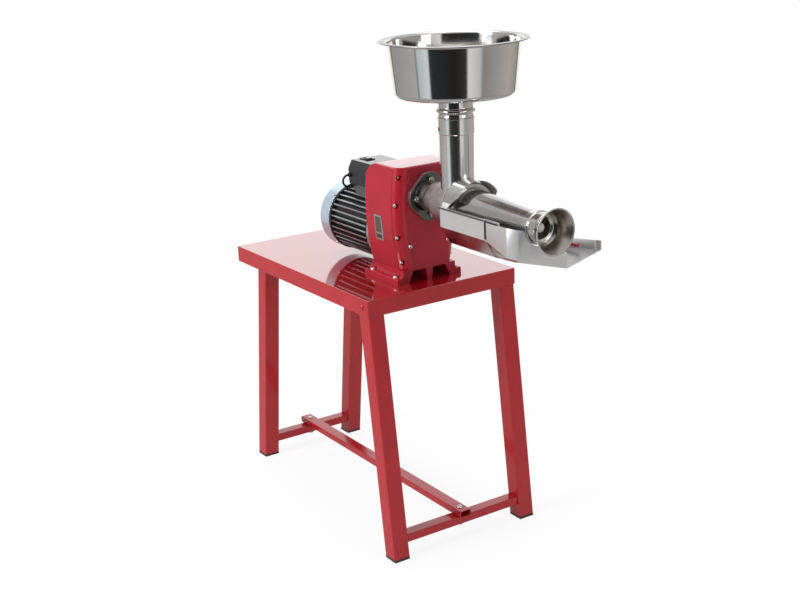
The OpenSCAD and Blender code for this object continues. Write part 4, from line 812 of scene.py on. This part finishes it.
    def screws(self) -> None:
        """Domed screws of the frame and their nuts."""
        spots = [self.leg_middle(side, self.stretcher_z) for side in (-1, 1)]
        skin, painted = Skin(), Skin()
        upright = headed_screw(44) + [0, self.beam_z + self.beam_h / 2]
        for x in spots:
            skin.add(Skin().turned(upright, Axis.Z, (x, 0), 32, closed=False))
        z = self.height - self.skirt / 2
        side_x = self.leg_middle(1, z)
        flat, back = headed_screw(12), headed_screw(50)
        rear_z = z - 3
        rear_x = float(self.leg_face(-1, np.array(rear_z))) - 1.2
        for sign in (-1, 1):
            profile = np.stack([flat[:, 0], sign * (flat[:, 1] + self.width / 2)], axis=1)
            painted.add(Skin().turned(profile, Axis.Y, (side_x, z), 32, closed=False))
            profile = np.stack([back[:, 0], rear_x - back[:, 1]], axis=1)
            centre = (sign * (self.rear_y - self.leg / 2), rear_z)
            painted.add(Skin().turned(profile, Axis.X, centre, 32, closed=False))
        self.fit(skin.build("frame_screws_skin"), "bright_steel", "frame_screws")
        self.fit(painted.build("skirt_screws_skin"), "table_paint", "frame_screws")
        self.keep("frame_nuts", "bright_steel", 0.4)

    def build(self) -> None:
        """Builds the table."""
        self.top()
        self.legs()
        self.stretchers()
        self.screws()


@dataclass
class GearCase(SubAssembly):
    """The crimson gear case with its cover, screws and gear train."""

    side_r: float = 563.0
    half_w: float = 84.0
    wide_z: float = 760.0
    plate_x: Pair = (162.0, 193.0)
    plate_z: Pair = (690.0, 748.0)

    def patch(self, x: Pair, z: Pair, low: float, high: float) -> Skin:
        """Thin patch on the bulged near side, from low to high above it.

        Its Y is the side's arc: the root of the side's radius squared less the square of the height
        above the widest place, less the distance from the arc's centre, and all of it negative.

        Args:
            x: its ends along X.
            z: its ends along Z.
            low: height of its back above the side.
            high: height of its face above the side.

        Returns:
            The patch with its edges rounded.
        """
        plan = rounded(rectangle(x[1] - x[0], z[1] - z[0], (sum(x) / 2, sum(z) / 2)), 1.5, 4)
        rings = [(plan, low), (plan, high - 0.25), (inset(plan, 0.25), high)]
        middle = np.array([sum(x) / 2, sum(z) / 2])
        rings += [(middle + (plan - middle) * share, high) for share in (0.7, 0.35, 0.02)]
        places = []
        for ring, lift in rings:
            bulge = np.sqrt(self.side_r**2 - (ring[:, 1] - self.wide_z) ** 2) - (self.side_r - self.half_w)
            places.append(np.stack([ring[:, 0], -(bulge + lift), ring[:, 1]], axis=-1))
        places = np.stack(places)
        return Skin().grid(places, wrap_columns=True).cap(places[0]).cap(places[-1])

    def plate(self) -> None:
        """Bare plate: a bright frame, a dark field set on it and a dark strip below the field."""
        (x0, x1), (z0, z1) = self.plate_x, self.plate_z
        whole = self.patch((x0, x1), (z0, z1), 0.1, 0.9)
        self.fit(whole.build("side_plate_skin"), "bright_steel", "side_plate")
        field_skin = self.patch((x0 + 4, x1 - 4), (z0 + 18, z1 - 4), 0.85, 1.1)
        strip_skin = self.patch((x0 + 4, x1 - 4), (z0 + 5, z0 + 14), 0.85, 1.1)
        self.fit(field_skin.build("side_plate_field"), "gear_steel", "side_plate")
        self.fit(strip_skin.build("side_plate_strip"), "gloss_black", "side_plate")

    def build(self) -> None:
        """Dresses the case and what is in it."""
        for name, bevel in (("gearbox_housing", 1.4), ("gearbox_cover", 0.6)):
            part = self.keep(name, "case_paint", bevel, 24)
            # Painted sheen: the top's up-facing faces get a copy of the enamel with a boosted coat
            self.part_finish(part, "case_painted_sheen", (100, -100, 845), (300, 100, 870), (0, 0, 1))
        self.keep("cover_gasket", "case_paint", 0)
        self.plate()
        for name in ("cover_screws", "foot_bolts"):
            self.keep(name, "bright_steel", 0.3)
        for name in ("output_shaft", "output_wheel", "idler_shaft", "idler_wheel"):
            self.keep(name, "gear_steel", 0.2)
        self.keep("gearbox_bearings", "bright_steel", 0.3)
        self.keep("shaft_seals", "black_rubber", 0.3)


@dataclass
class Motor(SubAssembly):
    """The finned motor with its cowl and what turns inside."""

    shaft_z: float = 694.0
    gap_r: float = 76.0

    def build(self) -> None:
        """Dresses the motor. Faces nearer the shaft than the fins' outer part are in the gaps and get painted
        shade.
        """
        housing = self.keep("motor_housing", "motor_grey", 0)
        # Painted shade: faces in the gaps between the fins get a near-black finish
        housing.data.materials.append(self.finishes.made["fin_gap_painted_shade"])
        _, y, z = (of_faces(housing, "center") / MM - SHIFT).T
        in_gap = np.hypot(y, z - self.shaft_z) < self.gap_r
        housing.data.polygons.foreach_set("material_index", in_gap.astype(np.int32))
        self.keep("drive_end_shield", "motor_grey", 0.6)
        self.keep("rear_end_shield", "black_plastic", 0.6)
        self.keep("fan_cowl", "zinc", 0.3)
        self.keep("cowl_screws", "bright_steel", 0.2)
        for name, finish in (
            ("rotor_shaft", "gear_steel"),
            ("rotor_core", "lamination"),
            ("stator_core", "lamination"),
            ("stator_windings", "copper"),
            ("motor_bearings", "bright_steel"),
            ("cooling_fan", "black_plastic"),
        ):
            self.keep(name, finish, 0.3)


@dataclass
class SwitchUnit(SubAssembly):
    """The black switch box on the motor, with its lid, rocker, lead and glands."""

    def build(self) -> None:
        """Dresses the switch box."""
        self.keep("terminal_base", "gear_steel", 1.0, flat=0.3)
        self.keep("switch_box", "black_plastic", 1.6, flat=0.3)
        self.keep("switch_lid", "gloss_black", 1.2, flat=0.3)
        self.keep("switch_rocker", "gloss_black", 0.8)
        self.keep("run_capacitor", "white_plastic", 0.8)
        self.keep("motor_lead", "black_rubber", 0)
        self.keep("lead_glands", "black_plastic", 0.6)


@dataclass
class Strainer(SubAssembly):
    """The cast body, feed tube, auger, cone, ring and bell."""

    body_r: float = 50.0
    body_end: float = 416.0
    cone_x: float = 418.0
    cone_end: float = 642.0
    tube_r: tuple = (36.5, 38.0, 39.2, 1.5)  # outside low, middle and top, then the sheet
    socket_h: float = 34.0
    seam_turn: float = math.radians(4.6)
    hole_turn: float = math.radians(-105)
    hole_r: float = 4.5

    def around_shaft(self, profile: np.ndarray, name: str, finish: str, stands_for: str) -> None:
        """Turns a profile round the auger's shaft and fits it."""
        self.fit(Skin().turned(profile, Axis.X, (0, SHAFT_Z), 128).build(name), finish, stands_for)

    def on_tube(self, radius: np.ndarray, turn: np.ndarray, height: np.ndarray) -> np.ndarray:
        """Points at a radius and a turn from the feed tube's middle, at a height."""
        return lay(height, FEED_X + radius * np.cos(turn), radius * np.sin(turn), Axis.Z)

    def feed_tube(self) -> None:
        """Rolled tube: rings whose lowest one follows the saddle where the tube meets the body.

        The saddle's height is the root of the body's radius squared less the square of Y.
        """
        low_r, mid_r, top_r, sheet = self.tube_r
        top, step, low = TUBE_TOP, TUBE_TOP - self.socket_h, SHAFT_Z + 65
        angle = np.linspace(0, FULL_TURN, 128, endpoint=False)
        saddle = SHAFT_Z + np.sqrt((self.body_r + 0.05) ** 2 - (low_r * np.sin(angle)) ** 2)
        outside = [[low_r, low], [mid_r, step - 1], [top_r, step + 0.5], [top_r, top - 2.6]]
        lip = [[top_r + 1, top - 2], [top_r + 1, top - 0.5], [top_r, top], [top_r - sheet, top]]
        inside = [[top_r - sheet, step + 2], [mid_r - sheet, step], [low_r - sheet, low]]
        radius, height = np.array(outside + lip + inside).T
        heights = np.vstack([saddle, np.repeat(height[:, None], len(angle), axis=1), saddle])
        radii = np.r_[low_r, radius, low_r - sheet][:, None]
        skin = Skin().grid(self.on_tube(radii, angle, heights), wrap_rows=True, wrap_columns=True)
        self.fit(skin.build("feed_tube_skin"), "stainless_tube", "feed_tube")

    def tube_marks(self) -> None:
        """The tube's weld line, and its small hole as painted shade: a dark closed patch on the wall."""
        low_r, mid_r, top_r, _ = self.tube_r
        step = TUBE_TOP - self.socket_h
        ends = np.array([[low_r, SHAFT_Z + 48], [low_r, SHAFT_Z + 65], [mid_r, step - 2]])
        path = self.on_tube(ends[:, 0], self.seam_turn, ends[:, 1])
        self.fit(Skin().tube(path, 0.45, 8).build("feed_tube_weld"), "gear_steel", "feed_tube")
        share = self.hole_r * np.array([0.3, 1, 1, 0.3])[:, None]
        wall = top_r + np.array([0.12, 0.12, -0.4, -0.4])[:, None]
        across, up = circle(1.0, 24).T
        spots = self.on_tube(wall, self.hole_turn + share * across / top_r, step + 10 + share * up)
        patch = Skin().grid(spots, wrap_columns=True).cap(spots[0]).cap(spots[-1])
        # The dark patch is painted shade where the hole is
        self.fit(patch.build("feed_tube_hole_shade"), "black_rubber", "feed_tube")

    def cone(self) -> None:
        """Rolled and welded cone with its flange, one turned wall."""
        big, small, sheet, flange_r, back = 44.5, 29.5, 1.2, 48.5, self.body_end + 0.3
        end, tip = self.cone_end, self.cone_end + 6
        flange = [[big - sheet, back], [flange_r, back], [flange_r, self.cone_x], [big, self.cone_x]]
        neck = [[small + 0.3, end - 22], [small + sheet, end - 20], [small + sheet, tip], [small, tip]]
        inside = [[small, end - 19], [small - sheet, end - 22], [big - sheet, self.cone_x + 2]]
        profile = np.array(flange + neck + inside)
        self.around_shaft(profile, "sieve_cone_skin", "stainless_sieve", "sieve_cone")

    def bell(self) -> None:
        """Spun bell: a rolled rear bead, a neck and a flare whose radius follows a cosine wave."""
        in_r, sheet, mouth = 31.0, 1.8, 48.0
        out_r = in_r + sheet
        start, neck_end, front = self.cone_end - 2, self.cone_end + 20, self.cone_end + 52
        t = np.linspace(0, 1, 20)
        flare = out_r + (mouth - out_r) * (1 - np.cos(t * math.pi / 2))
        curve = np.stack([flare, neck_end + (front - neck_end) * t], axis=1)
        lip = [[mouth - 0.4, front], [mouth - 2.6, front]]
        lip += [[mouth - 3, front - 0.5], [mouth - 2.6, front - 2.2]]
        corners = [[in_r, start], [out_r + 2, start], [out_r + 2, start + 3.5], [out_r, start + 4.5]]
        bead = rounded(np.array(corners), 1.0, 4, closed=False)
        inside = (curve - [sheet, 0])[::-1][1:]
        profile = np.vstack([bead, curve[:-1], [[mouth, front - 0.4]], lip, inside])
        self.around_shaft(profile, "waste_bell_skin", "stainless_turned", "waste_bell")
        lining = np.vstack([inside - [0.12, 0], (inside - [0.02, 0])[::-1]])
        self.around_shaft(lining, "bell_lining", "stainless_tinted", "waste_bell")
        # A bead at the mouth in the lighter copy of the sheet: a painted highlight round the lip
        rim = circle(1.5, 16, (mouth - 1.7, front - 1.5))
        self.around_shaft(rim, "bell_rim", "sheet_painted_light", "waste_bell")

    def build(self) -> None:
        """Builds the strainer."""
        body = self.keep("strainer_body", "satin_cast", 0.8, 24)
        # Painted dark reflection: the flange's front face gets the darkened copy of turned steel
        self.part_finish(body, "turned_painted_dark", (260, -60, 730), (270, 60, 850), (1, 0, 0))
        self.keep("flange_studs", "bright_steel", 0.3)
        self.keep("flange_nuts", "bright_steel", 0.5)
        self.feed_tube()
        self.tube_marks()
        self.keep("auger", "white_plastic", 0)
        self.cone()
        self.keep("clamp_ring", "tinned", 0.4)
        self.bell()
        self.keep("outlet_ring", "stainless_turned", 0.6)


@dataclass
class Hopper(SubAssembly):
    """The spun bowl on the feed tube."""

    def build(self) -> None:
        """Turns the bowl: spigot, beaded neck, sloped floor, flared wall and rolled rim.

        Each row is a radius, a height above the tube's top, and the reach of the corner's rounding.
        """
        floor, rim = 42.0, 161.5
        rows = np.array(
            [
                # Spigot in the tube, then the neck with its two beads
                [35.5, -22, 0.3], [36.1, 0.3, 0.3], [38.7, 0.3, 0.3], [38.7, 3, 1.5], [37.7, 6, 2],
                [37.7, 9.5, 1.5], [42.5, 11.5, 2.4], [42.5, 16.5, 2.4], [37.7, 20, 1.5],
                # Outside: floor, wall and rim
                [37.5, floor - 6, 3], [41.7, floor + 0.6, 3], [130, floor + 4, 11], [141.5, rim - 5, 3],
                [144.5, rim - 2.4, 1.5], [153.5, rim - 2.8, 1], [156, rim - 2.6, 0.8], [156, rim - 0.3, 0.8],
                # Inside: rim, wall, floor and spigot
                [143.5, rim, 2.4], [140, rim - 4, 3], [128.5, floor + 5.6, 10], [41, floor + 2.2, 3],
                [36.2, floor - 5, 3], [36.2, 4, 1], [34, 0, 1], [34, -22, 0.3],
            ]
        )
        profile = rounded(rows[:, :2] + [0, TUBE_TOP], rows[:, 2], 8)
        skin = Skin().turned(profile, Axis.Z, (FEED_X, 0), 160)
        bowl = self.fit(skin.build("hopper_skin"), "stainless", "hopper")
        top = TUBE_TOP + rim
        self.part_finish(bowl, "sheet_floor", (200, -170, top - 2), (540, 170, top + 1), (0, 0, 1))
        # Painted shade: a dark ring of gear steel along the rolled rim's outer edge
        edge = Skin().turned(circle(1.1, 12, (155.5, top - 1.5)), Axis.Z, (FEED_X, 0), 160)
        self.fit(edge.build("hopper_rim_shade"), "gear_steel", "hopper")


@dataclass
class JuiceTray(SubAssembly):
    """The hood, trough and chute of folded sheet, and the peg on the chute."""

    side_y: float = -62.0
    seam: Pair = (543.5, 550.0)
    seam_z: Pair = (760.0, 795.0)
    under_rim_end: float = 586.0

    def slot(self) -> None:
        """Painted shade of the gap between trough and chute: black strips upright at the seam and along under
        the trough's rim.
        """
        (x0, x1), (z0, z1) = self.seam, self.seam_z
        gap = Skin()
        for low, high in (((x0, z0), (x1, z1 + 3)), ((x1 - 1, z1), (self.under_rim_end, z1 + 3))):
            middle = ((low[0] + high[0]) / 2, (low[1] + high[1]) / 2)
            outline = rectangle(high[0] - low[0], high[1] - low[1], middle)
            gap.add(Skin().slab(outline, self.side_y - 0.4, self.side_y + 0.4, Axis.Y, 0.1))
        # The black strips are painted shade in the gap
        self.fit(gap.build("tray_gap_painted_shade"), "black_rubber", "juice_trough")

    def build(self) -> None:
        """Dresses the tray."""
        hood = self.keep("splash_hood", "stainless_hood", 0.4)
        # Painted light: the hood's downward and inward faces get the lighter copy of the sheet
        for facing in ((0, -0.97, -0.26), (0, -0.6, -0.8), (0, -0.1, -1), (0, 0.5, -0.86)):
            self.part_finish(hood, "sheet_painted_light", (300, -100, 700), (700, 100, 900), facing)
        self.slot()
        trough = self.keep("juice_trough", "stainless_sheet", 0.5)
        chute = self.keep("juice_chute", "stainless_sheet", 0.5, 34)
        chute.modifiers.remove(chute.modifiers["even_normals"])
        everywhere = ((300, -200, 600), (900, 200, 900))
        self.part_finish(chute, "sheet_floor", *everywhere, (0, 0, 1))
        # Painted shade: the hem's outer face gets dark gear steel, a dark line along the trough's rim
        self.part_finish(trough, "gear_steel", (380, -70, 796.5), (560, -65, 802), (0, -1, 0))
        for sheet in (trough, chute):
            self.part_finish(sheet, "stainless_hood", *everywhere, (0, -0.7, -0.7))
        self.keep("chute_peg", "red_plastic", 0.5)


def blank_tree(owner: bpy.types.Material | bpy.types.World) -> Tree:
    """Empties the node tree of a material or a world."""
    owner.use_nodes = True
    owner.node_tree.nodes.clear()
    return owner.node_tree


@dataclass
class Studio:
    """Camera, lamps, floor and world of the photograph."""

    eye: Triple = (2633.0, -1616.0, 1443.0)
    aim: Triple = (794.0, -431.0, 766.0)
    roll: float = -2.33
    lens: float = 59.97
    camera_turn: float = math.radians(-34.7)
    backdrop: float = 1.25
    # Name, place and aim in metres, two sides in metres, power in watts
    lamps: tuple = (
        ("key", (-0.2, -3.0, 2.2), (0.1, 0, 0.7), (1.2, 1.6), 85),
        ("fill", (3.4, 0.9, 1.8), (0.1, 0, 0.7), (1.0, 1.6), 18),
        ("top", (-0.4, 0.2, 3.4), (0.0, 0, 0.7), (2.0, 2.0), 45),
    )
    # Height of a direction where the ceiling or the ground starts and fills the view, and its colour
    ends: tuple = ((0.34, 0.7, "E6E8EA"), (-0.35, -0.6, "8A8078"))
    # Degrees from the camera's side, colour and gain
    walls: tuple = (
        (-142, "FFFFFF", 1.25),
        (-139, "3A3A3C", 1.0),
        (-134, "B0AEAE", 1.0),
        (-90, "C4C2C1", 1.0),
        (-73, "CCCACA", 1.0),
        (-71, "404042", 1.0),
        (-69, "D4E2EA", 1.0),
        (-48, "F0F6FA", 1.1),
        (-45, "34383A", 1.0),
        (0, "262626", 1.0),
        (20, "403C38", 1.0),
        (23, "FAFAFA", 1.1),
        (46, "DCDEE2", 1.0),
        (49, "A4A2A0", 1.0),
        (110, "CCC6C0", 1.0),
        (134, "B4AEAA", 1.0),
        (139, "3A3A3C", 1.0),
        (142, "FFFFFF", 1.25),
        (180, "FFFFFF", 1.25),
    )

    def camera(self) -> None:
        """Sets the camera at the photograph's place, rolled about its line of sight."""
        data = bpy.data.cameras.new("camera")
        data.lens, data.sensor_width = self.lens, 36.0
        data.clip_start, data.clip_end = 0.05, 50.0
        eye = (np.array(self.eye) + SHIFT) * MM
        aim = (np.array(self.aim) + SHIFT) * MM
        ahead = (aim - eye) / np.linalg.norm(aim - eye)
        right = np.cross(ahead, [0.0, 0.0, 1.0])
        right = right / np.linalg.norm(right)
        up = np.cross(right, ahead)
        angle = math.radians(self.roll)
        turned_right = right * math.cos(angle) + up * math.sin(angle)
        turned_up = up * math.cos(angle) - right * math.sin(angle)
        basis = np.stack([turned_right, turned_up, -ahead], axis=1)
        made = bpy.data.objects.new("camera", data)
        made.matrix_world = Matrix.Translation(Vector(eye)) @ Matrix(basis.tolist()).to_4x4()
        bpy.context.scene.collection.objects.link(made)
        bpy.context.scene.camera = made

    def lamp(self, name: str, place: Triple, aim: Triple, size: Pair, power: float) -> None:
        """Adds a soft box.

        Args:
            name: its name.
            place: where it is, in metres.
            aim: what it faces.
            size: its two sides in metres.
            power: its power in watts.
        """
        data = bpy.data.lights.new(name, "AREA")
        data.shape, data.size, data.size_y, data.energy = "RECTANGLE", size[0], size[1], power
        made = bpy.data.objects.new(name, data)
        made.location = place
        made.rotation_mode = "QUATERNION"
        made.rotation_quaternion = (Vector(aim) - Vector(place)).to_track_quat("-Z", "Y")
        bpy.context.scene.collection.objects.link(made)

    def floor(self) -> None:
        """Pale round floor, white to the camera where it isn't in shadow and a softer white to gloss."""
        mesh = bpy.data.meshes.new("floor")
        rim = circle(1.9, 64)
        mesh.from_pydata(np.column_stack([rim, np.full(64, -0.0005)]).tolist(), [], [list(range(64))])
        piece = bpy.data.objects.new("floor", mesh)
        bpy.context.scene.collection.objects.link(piece)
        made = bpy.data.materials.new("floor")
        tree = blank_tree(made)
        path = node(tree, "LightPath")
        paper = node(tree, "BsdfDiffuse", {"Color": linear("FAFAFA")})
        glow = node(tree, "Emission", {"Strength": 1.0})
        soft = node(tree, "Emission", {"Strength": 0.5})
        far = node(tree, "VectorMath", {"operation": "LENGTH"}, {0: node(tree, "TexCoord").outputs["Object"]})
        span = {"From Min": 0.5, "From Max": 1.5, "To Min": 0.88, "To Max": 1.0}
        fade = node(tree, "MapRange", span, {"Value": far.outputs["Value"]})
        seen = node(tree, "Math", {"operation": "MULTIPLY"}, {0: path.outputs["Is Camera Ray"], 1: fade})
        mixed = node(tree, "MixShader", {}, {0: seen, 1: paper, 2: glow})
        for ray, shader in (("Is Glossy Ray", soft), ("Is Transmission Ray", glow)):
            mixed = node(tree, "MixShader", {}, {0: path.outputs[ray], 1: mixed, 2: shader})
        node(tree, "OutputMaterial", {}, {"Surface": mixed})
        mesh.materials.append(made)

    def room(self, tree: Tree) -> Socket:
        """The studio that gloss sees: a white backdrop, two tall soft boxes, a dark gap, grey walls.

        The direction's turn from the camera's side picks a wall colour; high directions see the
        pale ceiling and low ones the grey floor.

        Args:
            tree: the world's node tree.

        Returns:
            A colour socket.
        """
        way = node(tree, "SeparateXYZ", {}, {0: node(tree, "TexCoord").outputs["Generated"]})
        turn = node(tree, "Math", {"operation": "ARCTAN2"}, {0: way.outputs["Y"], 1: way.outputs["X"]})
        from_camera = node(tree, "Math", {"operation": "SUBTRACT", 1: self.camera_turn}, {0: turn})
        wrap = {"operation": "WRAP", 1: math.pi, 2: -math.pi}
        inside = node(tree, "Math", wrap, {0: from_camera})
        share = node(tree, "MapRange", {"From Min": -math.pi, "From Max": math.pi}, {"Value": inside})
        walls = node(tree, "ValToRGB", {}, {0: share})
        ramp = walls.color_ramp
        while len(ramp.elements) > 1:
            ramp.elements.remove(ramp.elements[-1])
        ramp.elements[0].position = 0.0
        ramp.elements[0].color = (*3 * (self.backdrop,), 1.0)
        for degrees, code, gain in self.walls:
            stop = ramp.elements.new((degrees + 180) / 360)
            stop.color = (*[gain * part for part in linear(code)[:3]], 1.0)
        colour = walls.outputs[0]
        for start, full, code in self.ends:
            blend = {"interpolation_type": "SMOOTHSTEP", "From Min": start, "From Max": full}
            part = node(tree, "MapRange", blend, {"Value": way.outputs["Z"]})
            tint = {"data_type": "RGBA", 7: linear(code)}
            colour = node(tree, "Mix", tint, {0: part, 6: colour}).outputs[2]
        return colour

    def world(self) -> None:
        """White to the camera and to glass, the studio to gloss and a soft grey to everything else."""
        made = bpy.data.worlds.new("studio")
        bpy.context.scene.world = made
        tree = blank_tree(made)
        path = node(tree, "LightPath")
        direct = {0: path.outputs["Is Camera Ray"], 1: path.outputs["Is Transmission Ray"]}
        seen = node(tree, "Math", {"operation": "MAXIMUM"}, direct)
        strength = node(tree, "MapRange", {"To Min": 0.5, "To Max": 1.0}, {"Value": seen})
        plain = node(tree, "Background", {"Color": (1, 1, 1, 1)}, {"Strength": strength})
        gloss = node(tree, "Background", {}, {"Color": self.room(tree)})
        both = node(tree, "MixShader", {}, {0: path.outputs["Is Glossy Ray"], 1: plain, 2: gloss})
        node(tree, "OutputWorld", {}, {"Surface": both})

    def build(self) -> None:
        """Sets up the studio."""
        self.camera()
        self.floor()
        self.world()
        for lamp in self.lamps:
            self.lamp(*lamp)
        bpy.context.scene.view_settings.view_transform = "Standard"


def main() -> None:
    """Builds the studio, then each sub-assembly in order."""
    Studio().build()
    finishes = Finishes()
    for part in (TableFrame, GearCase, Motor, SwitchUnit, Strainer, Hopper, JuiceTray):
        part(finishes).build()
        LOG.info("%s is built", part.__name__)


if __name__ == "__main__":
    main()
